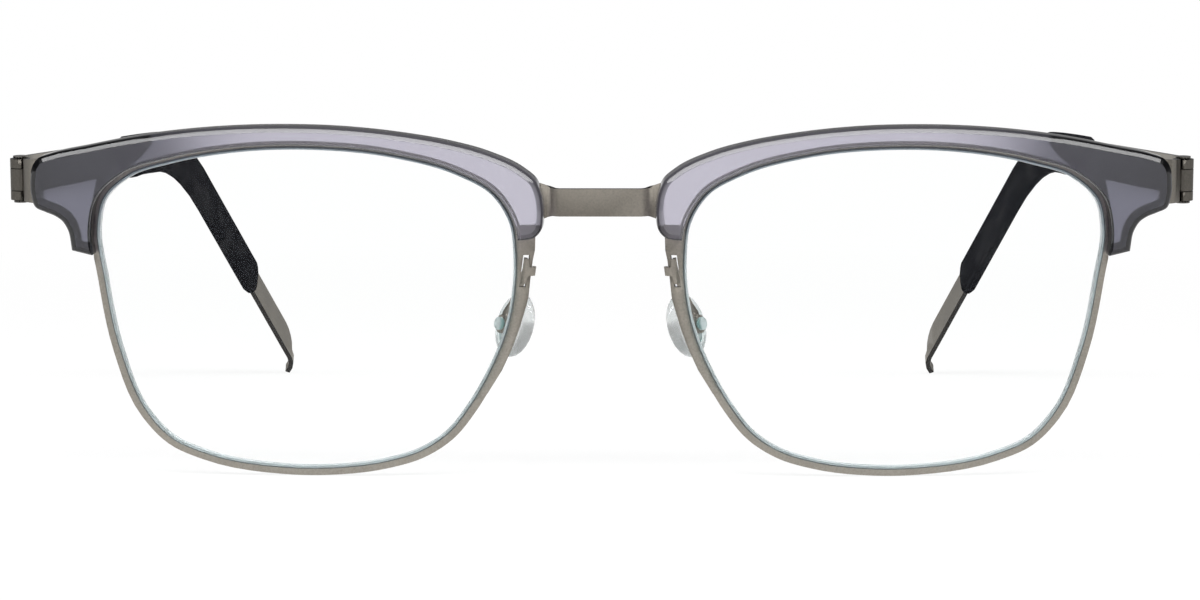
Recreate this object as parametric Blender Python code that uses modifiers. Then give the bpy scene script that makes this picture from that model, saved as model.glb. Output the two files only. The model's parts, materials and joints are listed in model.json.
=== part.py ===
"""Browline eyeglass frame: a titanium sheet front under two acetate brows, with clear demo lenses.

Lengths are in metres. The glasses stand on a table with their temples open: +Z is up, the front faces
-Y and the temples run towards +Y. Left and right are the wearer's, so the left side is at +X.
The front is drawn flat, in x across and z up from the middle of the lenses, and is then formed:
each eye follows a sphere, the bridge is raised, and the lugs are bent back and rolled round the pins.
"""
import math

import bmesh
import bpy
from mathutils import Matrix, Vector, geometry

# Lenses
LENS_WIDTH = 0.0500
LENS_HEIGHT = 0.0386
LENS_THICKNESS = 0.0018
LENS_SURFACE_RADIUS = 0.125
LENS_BEVEL_WIDTH = 0.00040
LENS_BEVEL_DEPTH = 0.00015
LENS_GROOVE_DEPTH = 0.00035
LENS_GROOVE_CLEARANCE = 0.00008
LENS_MESH_SPACING = 0.0090

# The front's stance
BRIDGE_WIDTH = 0.0200
FACE_FORM_ANGLE = math.radians(3.0)
PANTOSCOPIC_ANGLE = math.radians(4.5)

# Titanium sheet
SHEET_THICKNESS = 0.0007
RIM_WIDTH = 0.0012
RIM_WIDTH_BEHIND_BROW = 0.0009
BORDER_WIDTH = 0.0009
BORDER_INSET = 0.0001
BORDER_OVERLAP = 0.0003
BRIDGE_HEIGHT = 0.0033
BRIDGE_LEVEL = 0.0127
BRIDGE_RISE = 0.0010
BRIDGE_ROOT_GAP = 0.000275
BRIDGE_RAMP_LENGTH = 0.0016
BRIDGE_FLARE_HALF_HEIGHT = 0.0022
BRIDGE_FLARE_REACH = 0.0008
SLOT_WIDTH = 0.00075
SLOT_TOP = 0.0064
SLOT_BOTTOM = 0.0026
SLOT_BAR = 0.0005

# Lugs and rolled hinges
LUG_HEIGHT = 0.0054
LUG_LEVEL = 0.0146
LUG_START_REACH = 0.0066
LUG_LEVELLED_REACH = 0.0010
LUG_BEND_RADIUS = 0.0042
LUG_STRAIGHT = 0.0012
HINGE_HEIGHT = 0.0050
HINGE_LEVEL = 0.0142
KNUCKLE_HEIGHT = 0.0026
KNUCKLE_GAP = 0.0001
ROLL_ANGLE = math.radians(285.0)
PIN_RADIUS = 0.00050
PIN_CLEARANCE = 0.00006
PIN_HEAD_RADIUS = 0.00090
PIN_HEAD_HEIGHT = 0.00025
PIN_HEAD_GAP = 0.00008

# Acetate brows
BROW_THICKNESS = 0.0031
BROW_SEAT_GAP = 0.00012
BROW_BEVEL_WIDTH = 0.00085
BROW_BEVEL_DEPTH = 0.00080
BROW_LENS_SIDE_BEVEL = 0.00015
BROW_REVEAL = 0.00045
BROW_NOSE_END = 0.0085
BROW_FOOT_END = 0.0063
BROW_MESH_SPACING = 0.0060

# Nose pads and their arms
PAD_LENGTH = 0.0080
PAD_WIDTH = 0.0062
PAD_THICKNESS = 0.0024
PAD_SPREAD = 0.0104
PAD_LEVEL = -0.0031
PAD_SETBACK = 0.0078
PAD_TURN_ANGLE = math.radians(40.0)
PAD_SPLAY_ANGLE = math.radians(17.0)
CORE_LENGTH = 0.0050
CORE_WIDTH = 0.0025
CORE_THICKNESS = 0.0006
CORE_CLEARANCE = 0.0001
STEM_RADIUS = 0.00050
STEM_HEAD_GAP = 0.00020
STEM_HEAD_RADIUS = 0.00080
STEM_HEAD_HEIGHT = 0.00030
EYELET_RADIUS = 0.00115
EYELET_BORE_RADIUS = 0.00062
EYELET_HEIGHT = 0.00050
EYELET_STANDOFF = 0.00050
ARM_THICKNESS = 0.00045
ARM_WIDTH = 0.0011
HOOK_HEIGHT = 0.0030
HOOK_TAB_HEIGHT = 0.0010
HOOK_CLEARANCE = 0.0001

# Temples
TEMPLE_LENGTH = 0.1340
TEMPLE_TO_BEND = 0.0800
TEMPLE_HEIGHT = 0.0050
TEMPLE_TIP_HEIGHT = 0.0044
TEMPLE_BEND_RADIUS = 0.0200
TEMPLE_SHOULDER = 0.0015
TEMPLE_LEVELLED_LENGTH = 0.0060
TEMPLE_INWARD_ANGLE = math.radians(5.0)
TIP_INWARD_ANGLE = math.radians(18.0)
INWARD_BLEND_LENGTH = 0.0260
TIP_HOOK_LENGTH = 0.0034
TIP_HOOK_HEIGHT = 0.0015
TIP_HOOK_OUT = 0.0016
TIP_ROUND_LENGTH = 0.0030
TEMPLE_STEP = 0.0060
SLEEVE_START = 0.0600
SLEEVE_LENGTH = 0.0555
SLEEVE_HEIGHT = 0.0058
SLEEVE_THICKNESS = 0.0022
SLEEVE_CLEARANCE = 0.0001
SLEEVE_END_ROUND = 0.0008
SLEEVE_STEP = 0.0035

# How finely curves are drawn
OUTLINE_STEPS = 5
BROW_STEPS = 3
BRIDGE_RAMP_STEPS = 5
LUG_BEND_STEPS = 8
ROUND_SIDES = 16
PAD_SIDES = 24
PAD_RINGS = 12
HALVINGS = 40
BEND_STEP_ANGLE = math.radians(15.0)
STRAIGHT_ANGLE = math.radians(20.0)
SMOOTH_ANGLE = math.radians(35.0)
SLOPE_STEP = 0.0002
FILL_TOLERANCE = 0.0000004
WELD_DISTANCE = 0.000004

# Outward and up from the lens's middle, as shares of half its width and height, counter-clockwise
LENS_OUTLINE_SHARES = (
    (-1.000, 0.350), (-0.969, -0.069), (-0.855, -0.438), (-0.772, -0.618), (-0.669, -0.782),
    (-0.534, -0.894), (-0.383, -0.954), (-0.091, -1.000), (0.123, -0.997), (0.500, -0.916),
    (0.654, -0.830), (0.771, -0.675), (0.898, -0.272), (0.967, 0.164), (1.000, 0.500),
    (0.973, 0.660), (0.848, 0.816), (0.650, 0.904), (0.363, 0.975), (-0.038, 1.000),
    (-0.424, 0.951), (-0.732, 0.838), (-0.891, 0.719), (-0.983, 0.524))

# The brow's outer edge in the same shares, from the foot's outer corner over the top to the nose
BROW_EDGE_SHARES = (
    (1.110, 0.351), (1.131, 0.483), (1.157, 0.532), (1.192, 0.561), (1.241, 0.584),
    (1.290, 0.612), (1.309, 0.680), (1.312, 0.779), (1.298, 0.873), (1.270, 0.918), (1.228, 0.939),
    (1.032, 0.999), (0.838, 1.049), (0.643, 1.089), (0.259, 1.133), (0.069, 1.138), (-0.121, 1.133),
    (-0.498, 1.084), (-0.686, 1.040), (-0.874, 0.971), (-1.039, 0.867), (-1.098, 0.799),
    (-1.121, 0.729), (-1.132, 0.649), (-1.133, 0.576), (-1.122, 0.495), (-1.090, 0.454),
    (-1.050, 0.442))

# The strap's nose side from behind the brow down to where it runs out in the rim, in the same shares
STRAP_EDGE_SHARES = (
    (-1.092, 0.518), (-1.088, 0.360), (-1.078, 0.300), (-1.066, 0.180), (-1.057, 0.070),
    (-1.036, -0.030), (-1.008, -0.145), (-0.974, -0.260), (-0.930, -0.383), (-0.860, -0.530))

# The sheet's arm between lug and rim, behind the brow, in the same shares
ARM_OUTLINE_SHARES = (
    (1.400, 0.665), (0.990, 0.785), (1.000, 0.720), (1.025, 0.560), (0.980, 0.500), (0.880, 0.750),
    (0.824, 0.876), (0.776, 0.927), (0.736, 0.990), (0.696, 1.067), (0.760, 1.200), (1.400, 1.100))

# The pad arm's route behind the slot, as shares of its way to the eyelet: across, back and up
ARM_ROUTE_SHARES = ((0.00, 0.20, 0.02), (0.05, 0.42, 0.14), (0.28, 0.66, 0.42), (0.62, 0.86, 0.74))
ARM_END_SHARE = 0.8

# How full the pad's rim is, and where the rounding and the hook of a temple's tip have their sections
PAD_RIM_SHARE = 0.6
TIP_ROUND_SHARES = (0.4, 0.7, 0.9, 1.0)
TIP_HOOK_SHARES = (0.35, 0.7, 1.0)
SLEEVE_SQUARENESS = 4

HALF_WIDTH = LENS_WIDTH / 2
HALF_HEIGHT = LENS_HEIGHT / 2
EYE_CENTRE = (BRIDGE_WIDTH + LENS_WIDTH) / 2
HALF_SHEET = SHEET_THICKNESS / 2
ROLL_RADIUS = PIN_RADIUS + PIN_CLEARANCE + HALF_SHEET
LUG_START = EYE_CENTRE + HALF_WIDTH + LUG_START_REACH
BROW_NOSE_HALF = EYE_CENTRE + min(across for across, _ in BROW_EDGE_SHARES) * HALF_WIDTH
BRIDGE_ROOT_HALF = BROW_NOSE_HALF - BRIDGE_ROOT_GAP
BRIDGE_FLAT_HALF = BRIDGE_ROOT_HALF - BRIDGE_RAMP_LENGTH
SIDES = {"left": 1, "right": -1}
ALONG_Y = Matrix.Rotation(-math.pi / 2, 4, "X")

MATERIALS = {
    "titanium": ((0.36, 0.34, 0.31, 1.0), 0.42, 1.0),
    "acetate": ((0.33, 0.32, 0.38, 1.0), 0.12, 0.0),
    "lens": ((0.80, 0.90, 0.88, 1.0), 0.05, 0.0),
    "silicone_pad": ((0.78, 0.82, 0.80, 1.0), 0.35, 0.0),
    "pad_core": ((0.52, 0.62, 0.60, 1.0), 0.30, 0.0),
    "silicone_sleeve": ((0.012, 0.012, 0.014, 1.0), 0.55, 0.0),
    "pin_steel": ((0.45, 0.43, 0.40, 1.0), 0.35, 1.0)}


# Curves and outlines
def mix(first, second, share):
    return first + (second - first) * share


def ease(value, start, end):
    """0 up to start, 1 past end, and smooth between them."""
    share = min(max((value - start) / (end - start), 0.0), 1.0)
    return share * share * (3.0 - 2.0 * share)


def spline(knots, steps, closed=False):
    """Smooth curve through the knots, with the same number of points on each stretch."""
    count = len(knots)
    knots = [Vector(knot) for knot in knots]
    points = []
    for index in range(count if closed else count - 1):
        near = [knots[(index + k) % count] if closed else knots[min(max(index + k, 0), count - 1)]
                for k in (-1, 0, 1, 2)]
        chords = [max((b - a).length, WELD_DISTANCE) for a, b in zip(near, near[1:])]
        slopes = [(b - a) / chord for a, b, chord in zip(near, near[1:], chords)]
        if not closed and index == 0:
            slopes[0] = slopes[1]
        if not closed and index == count - 2:
            slopes[2] = slopes[1]
        start = (slopes[0] * chords[1] + slopes[1] * chords[0]) / (chords[0] + chords[1]) * chords[1]
        end = (slopes[1] * chords[2] + slopes[2] * chords[1]) / (chords[1] + chords[2]) * chords[1]
        for step in range(steps):
            t = step / steps
            points.append(near[1] * (2 * t**3 - 3 * t**2 + 1) + start * (t**3 - 2 * t**2 + t)
                          + near[2] * (3 * t**2 - 2 * t**3) + end * (t**3 - t**2))
    if not closed:
        points.append(knots[-1])
    return points


def grown(loop, amounts):
    """The counter-clockwise loop with each edge moved outwards by its own amount.

    Where edges that nearly line up move by unlike amounts, the corner takes their mean."""
    count = len(loop)
    if not isinstance(amounts, (list, tuple)):
        amounts = [amounts] * count
    normals = []
    for index, point in enumerate(loop):
        along = (loop[(index + 1) % count] - point).normalized()
        normals.append(Vector((along.y, -along.x)))
    moved = []
    for index, point in enumerate(loop):
        before, after = normals[index - 1], normals[index]
        a, b = amounts[index - 1], amounts[index]
        cross = before.x * after.y - before.y * after.x
        if abs(cross) > math.sin(STRAIGHT_ANGLE):
            shift = Vector((a * after.y - b * before.y, b * before.x - a * after.x)) / cross
        else:
            shift = (before + after) * (a + b) / 2 / (1 + before.dot(after))
        moved.append(point + shift)
    return moved


def inside(point, loop):
    """Whether a flat point lies inside a closed loop."""
    crossed = False
    for (ax, ay), (bx, by) in zip(loop, loop[1:] + loop[:1]):
        if (ay > point.y) != (by > point.y):
            if point.x < ax + (point.y - ay) / (by - ay) * (bx - ax):
                crossed = not crossed
    return crossed


def from_shares(shares):
    return [Vector((across * HALF_WIDTH, up * HALF_HEIGHT)) for across, up in shares]


def lens_outline():
    """The lens's edge round its own middle, outward to the right."""
    return spline(from_shares(LENS_OUTLINE_SHARES), OUTLINE_STEPS, closed=True)


def brow_outline():
    """The brow's closed outline, and for each of its edges whether it faces the lens."""
    seat = grown(lens_outline(), BROW_REVEAL)
    lens_side = []
    for index, point in enumerate(seat):
        before = seat[index - 1]
        floor = BROW_FOOT_END if point.x > 0 else BROW_NOSE_END
        if (point.y > floor) != (before.y > floor):
            lens_side.append(before.lerp(point, (floor - before.y) / (point.y - before.y)))
        elif point.y > floor + 2 * BROW_BEVEL_WIDTH:
            lens_side.append(point)
    foot = max(range(len(lens_side)), key=lambda k: lens_side[k].x - lens_side[k].y)
    lens_side = (lens_side[foot:] + lens_side[:foot])[::-1]
    edge = spline(from_shares(BROW_EDGE_SHARES), BROW_STEPS)
    faces_lens = [False] * len(edge) + [True] * (len(lens_side) - 1) + [False]
    return edge + lens_side, faces_lens


def strap_edge(height):
    """How far outward of the lens's middle the strap's nose side lies at a height."""
    edge = from_shares(STRAP_EDGE_SHARES)
    for above, below in zip(edge, edge[1:]):
        if below.y <= height <= above.y:
            return mix(below.x, above.x, (height - below.y) / (above.y - below.y))
    return edge[0].x


def eye_place(point, side):
    """A flat point of an eye's drawing, placed in the front's drawing."""
    return Vector((side * (EYE_CENTRE + point.x), point.y))


# Forming the front
def eye_depth(x, z):
    """How far behind the lens centres the sheet's middle lies, on the eye's sphere."""
    reach = abs(x) - EYE_CENTRE
    levelled = ease(abs(x), LUG_START - 2 * LUG_START_REACH, LUG_START - LUG_LEVELLED_REACH)
    height = mix(z, LUG_LEVEL, levelled)
    return (reach**2 + height**2) / (2 * LENS_SURFACE_RADIUS) + math.tan(FACE_FORM_ANGLE) * reach


def on_eye(flat, offset):
    """A point of the front's drawing on the eye's sphere, moved square off it, backwards if positive."""
    step = SLOPE_STEP
    lean_x = (eye_depth(flat.x + step, flat.y) - eye_depth(flat.x - step, flat.y)) / (2 * step)
    lean_z = (eye_depth(flat.x, flat.y + step) - eye_depth(flat.x, flat.y - step)) / (2 * step)
    square = Vector((-lean_x, 1.0, -lean_z)).normalized()
    return Vector((flat.x, eye_depth(flat.x, flat.y), flat.y)) + square * offset


def on_brow(flat, offset):
    """A point of the brow: seated on the sheet, with its side walls square to the whole eye."""
    seat = -HALF_SHEET - BROW_SEAT_GAP
    along = Vector((-math.copysign(math.tan(FACE_FORM_ANGLE), flat.x), 1.0, 0.0)).normalized()
    return on_eye(flat, seat) + along * (offset - seat)


def sheet_depth(x, z):
    """The same with the bridge raised between the brows."""
    top = eye_depth(BRIDGE_ROOT_HALF, BRIDGE_LEVEL) - BRIDGE_RISE
    return mix(top, eye_depth(x, z), ease(abs(x), BRIDGE_FLAT_HALF, BRIDGE_ROOT_HALF))


def lug_route():
    """The lug's plan: length along the sheet, then outward and back, and the heading, in steps."""
    slope = (LUG_START - EYE_CENTRE) / LENS_SURFACE_RADIUS + math.tan(FACE_FORM_ANGLE)
    heading = math.atan(slope)
    place = Vector((LUG_START, eye_depth(LUG_START, LUG_LEVEL)))
    route = [(0.0, place.copy())]
    length = 0.0

    def bend(radius, start, turn, steps):
        nonlocal place, length
        for _ in range(steps):
            step = turn / steps
            middle = start + step / 2
            chord = 2 * radius * math.sin(abs(step) / 2)
            place = place + Vector((math.cos(middle), math.sin(middle))) * chord
            length += radius * abs(step)
            start += step
            route.append((length, place.copy()))

    bend(LUG_BEND_RADIUS, heading, math.pi / 2 - heading, LUG_BEND_STEPS)
    place = place + Vector((0.0, LUG_STRAIGHT))
    length += LUG_STRAIGHT
    route.append((length, place.copy()))
    bend(ROLL_RADIUS, math.pi / 2, -ROLL_ANGLE, ROLL_STEPS)
    return route


ROLL_STEPS = round(ROLL_ANGLE / BEND_STEP_ANGLE)
LUG_ROUTE = lug_route()
ROLL_START = LUG_ROUTE[-1 - ROLL_STEPS]
HINGE_AXIS = Vector((ROLL_START[1].x + ROLL_RADIUS, ROLL_START[1].y))


def formed(x, z, offset=0.0):
    """The flat drawing's point in the front's own frame: across, back and up."""
    beyond = abs(x) - LUG_START
    if beyond <= 0:
        return Vector((x, sheet_depth(x, z) + offset, z))
    for (length, place), (next_length, next_place) in zip(LUG_ROUTE, LUG_ROUTE[1:]):
        if beyond <= next_length + WELD_DISTANCE:
            share = (beyond - length) / (next_length - length)
            spot = place.lerp(next_place, share)
            break
    return Vector((math.copysign(spot.x, x), spot.y + offset, z))


# Meshes
def new_object(name, mesh, parent, material, place=None):
    piece = bpy.data.objects.new(name, mesh)
    parts.objects.link(piece)
    piece.parent = parent
    if place is not None:
        piece.matrix_local = place
    colour, roughness, metallic = MATERIALS[material]
    finish = bpy.data.materials.new(name)
    finish.use_nodes = True
    shader = finish.node_tree.nodes["Principled BSDF"]
    shader.inputs["Base Color"].default_value = colour
    shader.inputs["Roughness"].default_value = roughness
    shader.inputs["Metallic"].default_value = metallic
    finish.diffuse_color = colour
    mesh.materials.append(finish)
    return piece


def finished_mesh(name, bm):
    bmesh.ops.remove_doubles(bm, verts=bm.verts, dist=WELD_DISTANCE)
    bmesh.ops.recalc_face_normals(bm, faces=bm.faces)
    mesh = bpy.data.meshes.new(name)
    bm.to_mesh(mesh)
    bm.free()
    mesh.shade_smooth()
    mesh.set_sharp_from_angle(angle=SMOOTH_ANGLE)
    return mesh


def filled(bm, loops, keep, place, folds=(), spots=()):
    """Fill the flat region that keep accepts with triangles, and place its points."""
    points, edges = [], []
    for loop in loops:
        first = len(points)
        points += loop
        edges += [(first + k, first + (k + 1) % len(loop)) for k in range(len(loop))]
    for start, end in folds:
        edges.append((len(points), len(points) + 1))
        points += [start, end]
    points += spots
    flat, _, faces, _, _, _ = geometry.delaunay_2d_cdt(points, edges, [], 0, FILL_TOLERANCE)
    verts = {}
    for face in faces:
        middle = sum((flat[k] for k in face), Vector((0, 0))) / 3
        if not keep(middle):
            continue
        for k in face:
            if k not in verts:
                verts[k] = bm.verts.new(place(flat[k]))
        bm.faces.new([verts[k] for k in face])


def grid_spots(loop, spacing, margin):
    """Points spread evenly inside a loop, clear of its edge by the margin."""
    core = grown(loop, -margin)
    across = [point.x for point in loop]
    up = [point.y for point in loop]
    spots = []
    for column in range(1, int((max(across) - min(across)) / spacing) + 1):
        for row in range(1, int((max(up) - min(up)) / spacing) + 1):
            spot = Vector((min(across) + column * spacing, min(up) + row * spacing))
            if inside(spot, core):
                spots.append(spot)
    return spots


def joined_rings(bm, rings, closed=False):
    """Walls between rings of points, each ring a closed loop of vertices."""
    for low, high in zip(rings, rings[1:] + rings[:1] if closed else rings[1:]):
        count = len(low)
        for k in range(count):
            bm.faces.new((low[k], low[(k + 1) % count], high[(k + 1) % count], high[k]))


def ring_of(bm, points):
    return [bm.verts.new(point) for point in points]


def thickened(piece, thickness):
    solid = piece.modifiers.new("Sheet", "SOLIDIFY")
    solid.thickness = thickness
    solid.offset = 0.0
    solid.use_even_offset = True


def profile_mesh(name, profile, closed=False):
    """A profile of radii and heights, running down its outer side, for turned() to turn."""
    bm = bmesh.new()
    verts = [bm.verts.new((radius, 0.0, height)) for radius, height in profile]
    for low, high in zip(verts, verts[1:] + verts[:1] if closed else verts[1:]):
        bm.edges.new((low, high))
    mesh = bpy.data.meshes.new(name)
    bm.to_mesh(mesh)
    bm.free()
    return mesh


def turned(piece):
    screw = piece.modifiers.new("Turn", "SCREW")
    screw.steps = ROUND_SIDES
    screw.render_steps = ROUND_SIDES
    screw.use_merge_vertices = True
    screw.merge_threshold = WELD_DISTANCE
    screw.use_smooth_shade = True


def combined(piece, mesh, place, operation):
    """Cut a guide of this shape out of the piece, or join it on."""
    guide = bpy.data.objects.new(mesh.name, mesh)
    cutters.objects.link(guide)
    guide.parent = piece.parent
    guide.matrix_local = place
    guide.hide_render = True
    guide.display_type = "WIRE"
    change = piece.modifiers.new(operation.title(), "BOOLEAN")
    change.operation = operation
    change.object = guide
    return guide


# The titanium front
def ladder(start, end, low, high, columns):
    """Upright fold lines from start to end."""
    return [(Vector((mix(start, end, k / columns), low)), Vector((mix(start, end, k / columns), high)))
            for k in range(columns + 1)]


def front_chassis(parent):
    """One sheet: rims, brow borders, arms, straps, bridge and the lugs with their rolled knuckles."""
    lens_edge = lens_outline()
    opening = grown(lens_edge, LENS_GROOVE_CLEARANCE - LENS_GROOVE_DEPTH)
    rim_edge = grown(opening, [RIM_WIDTH if point.y < BROW_FOOT_END else RIM_WIDTH_BEHIND_BROW
                               for point in opening])
    brow, faces_lens = brow_outline()
    border_out = grown(brow, [BORDER_OVERLAP / 2 if lens else -BORDER_INSET for lens in faces_lens])
    border_in = grown(brow, [BORDER_OVERLAP if lens else -BORDER_INSET - BORDER_WIDTH
                             for lens in faces_lens])
    arm = from_shares(ARM_OUTLINE_SHARES)
    strap = from_shares(STRAP_EDGE_SHARES)
    strap += [Vector((0, strap[-1].y)), Vector((0, strap[0].y))]
    low, high = strap_edge(SLOT_BOTTOM) + SLOT_BAR, strap_edge(SLOT_TOP) + SLOT_BAR
    slot = [Vector((low, SLOT_BOTTOM)), Vector((low + SLOT_WIDTH, SLOT_BOTTOM)),
            Vector((high + SLOT_WIDTH, SLOT_TOP)), Vector((high, SLOT_TOP))]
    tab_high, tab_low = HINGE_LEVEL + HINGE_HEIGHT / 2, HINGE_LEVEL - HINGE_HEIGHT / 2
    inner_high = HINGE_LEVEL + KNUCKLE_HEIGHT / 2 + KNUCKLE_GAP
    inner_low = HINGE_LEVEL - KNUCKLE_HEIGHT / 2 - KNUCKLE_GAP
    lug_high, lug_low = LUG_LEVEL + LUG_HEIGHT / 2, LUG_LEVEL - LUG_HEIGHT / 2
    root = LUG_START - LUG_START_REACH / 2
    roll = LUG_START + ROLL_START[0]
    relief = roll - ROLL_RADIUS - HALF_SHEET - KNUCKLE_GAP
    tip = LUG_START + LUG_ROUTE[-1][0]
    lug = [Vector((LUG_START, lug_low)), Vector((roll, tab_low)), Vector((tip, tab_low)),
           Vector((tip, inner_low)), Vector((relief, inner_low)), Vector((relief, inner_high)),
           Vector((tip, inner_high)), Vector((tip, tab_high)), Vector((roll, tab_high)),
           Vector((LUG_START, lug_high)), Vector((root, lug_high)), Vector((root, LUG_LEVEL)),
           Vector((LUG_START, LUG_LEVEL))]
    half = BRIDGE_HEIGHT / 2
    flare = BRIDGE_ROOT_HALF + BRIDGE_FLARE_REACH
    inner = BRIDGE_ROOT_HALF - BRIDGE_FLARE_REACH
    bridge = [Vector((across, BRIDGE_LEVEL + height)) for across, height in (
        (-flare, -BRIDGE_FLARE_HALF_HEIGHT), (-inner, -half), (0.0, -half), (inner, -half),
        (flare, -BRIDGE_FLARE_HALF_HEIGHT), (flare, BRIDGE_FLARE_HALF_HEIGHT), (inner, half),
        (0.0, half), (-inner, half), (-flare, BRIDGE_FLARE_HALF_HEIGHT))]

    def in_eye(point):
        eye = Vector((abs(point.x) - EYE_CENTRE, point.y))
        if inside(eye, opening) or inside(eye, slot):
            return False
        if inside(eye, rim_edge) or inside(eye, strap):
            return True
        return inside(eye, border_out) and (not inside(eye, border_in) or inside(eye, arm))

    def keep(point):
        return inside(point, bridge) or inside(Vector((abs(point.x), point.y)), lug) or in_eye(point)

    loops, folds = [bridge], []
    for side in SIDES.values():
        for loop in (opening, rim_edge, border_out, border_in, arm, strap, slot):
            loops.append([eye_place(point, side) for point in loop])
        loops.append([Vector((side * point.x, point.y)) for point in lug])
        folds += ladder(side * BRIDGE_FLAT_HALF, side * BRIDGE_ROOT_HALF,
                        BRIDGE_LEVEL - 2 * half, BRIDGE_LEVEL + 2 * half, BRIDGE_RAMP_STEPS)
        for length, _ in LUG_ROUTE:
            column = side * (LUG_START + length)
            folds.append((Vector((column, tab_low - half)), Vector((column, lug_high + half))))
    bm = bmesh.new()
    filled(bm, loops, keep, lambda point: formed(point.x, point.y), folds)
    bmesh.ops.dissolve_degenerate(bm, dist=WELD_DISTANCE, edges=bm.edges)
    piece = new_object("front_chassis", finished_mesh("front_chassis", bm), parent, "titanium")
    thickened(piece, SHEET_THICKNESS)
    return piece


# Lenses and brows
def stacked(name, parent, material, side, layers, spacing, placed):
    """A closed solid from loops stacked through its depth and filled at both ends.

    Each layer is a flat loop round the eye's middle and its depth behind the sheet's middle."""
    bm = bmesh.new()
    rings = []
    for loop, depth in layers:
        rings.append(ring_of(bm, [placed(eye_place(point, side), depth) for point in loop]))
    joined_rings(bm, rings)
    for loop, depth in (layers[0], layers[-1]):
        spots = grid_spots(loop, spacing, spacing / 3)
        filled(bm, [loop], lambda point, loop=loop: inside(point, loop),
               lambda point, depth=depth: placed(eye_place(point, side), depth), spots=spots)
    return new_object(name, finished_mesh(name, bm), parent, material)


def lens(name, side, parent):
    edge = lens_outline()
    floor = grown(edge, -LENS_GROOVE_DEPTH)
    half_groove = HALF_SHEET + LENS_GROOVE_CLEARANCE
    face = LENS_THICKNESS / 2
    shoulder = face - LENS_BEVEL_DEPTH
    front = grown(edge, -LENS_BEVEL_WIDTH)
    layers = [(front, -face), (edge, -shoulder), (edge, -half_groove), (floor, -half_groove),
              (floor, half_groove), (edge, half_groove), (edge, shoulder), (front, face)]
    return stacked(name, parent, "lens", side, layers, LENS_MESH_SPACING, on_eye)


def brow(name, side, parent):
    loop, faces_lens = brow_outline()
    back = -HALF_SHEET - BROW_SEAT_GAP
    front = back - BROW_THICKNESS
    face = grown(loop, [-BROW_LENS_SIDE_BEVEL if lens else -BROW_BEVEL_WIDTH for lens in faces_lens])
    layers = [(loop, back), (loop, front + BROW_BEVEL_DEPTH), (face, front)]
    return stacked(name, parent, "acetate", side, layers, BROW_MESH_SPACING, on_brow)


# Nose pads
def pad_frame(side):
    """Where a pad sits and how it turns: x along its width, y out through its lens side, z its length."""
    place = Vector((side * PAD_SPREAD, PAD_SETBACK, PAD_LEVEL))
    turn = Matrix.Rotation(-side * (math.pi / 2 + PAD_TURN_ANGLE), 4, "Z")
    splay = Matrix.Rotation(side * -PAD_SPLAY_ANGLE, 4, "Y")
    return Matrix.Translation(place) @ splay @ turn


def rounded_disc(name):
    """The pad: a lens-shaped cushion, blunt at its rim, with its thickness along y."""
    bm = bmesh.new()
    bmesh.ops.create_uvsphere(bm, u_segments=PAD_SIDES, v_segments=PAD_RINGS, radius=1.0)
    for vert in bm.verts:
        reach = max(math.hypot(vert.co.x, vert.co.y), WELD_DISTANCE)
        fuller = reach**PAD_RIM_SHARE / reach
        vert.co = Vector((vert.co.x * fuller * PAD_WIDTH / 2, vert.co.z * PAD_THICKNESS / 2,
                          vert.co.y * fuller * PAD_LENGTH / 2))
    return finished_mesh(name, bm)


def core_plate(name, extra=0.0):
    """The core's oval plate with its thickness along y, grown all round by the extra."""
    bm = bmesh.new()
    bmesh.ops.create_cone(bm, cap_ends=True, segments=2 * ROUND_SIDES, radius1=1.0, radius2=1.0, depth=1.0)
    for vert in bm.verts:
        vert.co = Vector((vert.co.x * (CORE_WIDTH / 2 + extra), vert.co.z * (CORE_THICKNESS + 2 * extra),
                          vert.co.y * (CORE_LENGTH / 2 + extra)))
    return finished_mesh(name, bm)


def core_offset():
    """From the pivot, which is the eyelet's middle, to the middle of the core's plate."""
    return -(CORE_THICKNESS / 2 + EYELET_STANDOFF + EYELET_HEIGHT / 2)


def pad_standoff():
    """From the pad's middle to the pivot: the plate lies flush with the pad's lens side."""
    return PAD_THICKNESS / 2 - CORE_THICKNESS / 2 - core_offset()


def nose_pad(name, pivot):
    piece = new_object(name, rounded_disc(name), pivot, "silicone_pad",
                       Matrix.Translation((0, -pad_standoff(), 0)))
    pocket = core_plate(name + "_pocket", CORE_CLEARANCE)
    combined(piece, pocket, Matrix.Translation((0, core_offset(), 0)), "DIFFERENCE")
    return piece


def pad_core(name, pivot):
    """The hard plate moulded in the pad, with the headed stem that snaps into the arm's eyelet."""
    place = Matrix.Translation((0, core_offset(), 0))
    piece = new_object(name, core_plate(name), pivot, "pad_core", place)
    neck = CORE_THICKNESS / 2 + EYELET_STANDOFF + EYELET_HEIGHT + STEM_HEAD_GAP
    head = neck + STEM_HEAD_HEIGHT
    profile = [(0.0, head), (STEM_HEAD_RADIUS, head), (STEM_HEAD_RADIUS, neck), (STEM_RADIUS, neck),
               (STEM_RADIUS, 0.0), (0.0, 0.0)]
    stem = combined(piece, profile_mesh(name + "_stem", profile), place @ ALONG_Y, "UNION")
    turned(stem)
    return piece


def ribbon(bm, stations, rows=2):
    """An open strip through stations, each a place, the direction across it and its half width."""
    columns = []
    for place, across, half in stations:
        direction = across.normalized()
        columns.append([bm.verts.new(place + direction * half * (2 * row / rows - 1))
                        for row in range(rows + 1)])
    for low, high in zip(columns, columns[1:]):
        for row in range(rows):
            bm.faces.new((low[row], high[row], high[row + 1], low[row + 1]))


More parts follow.
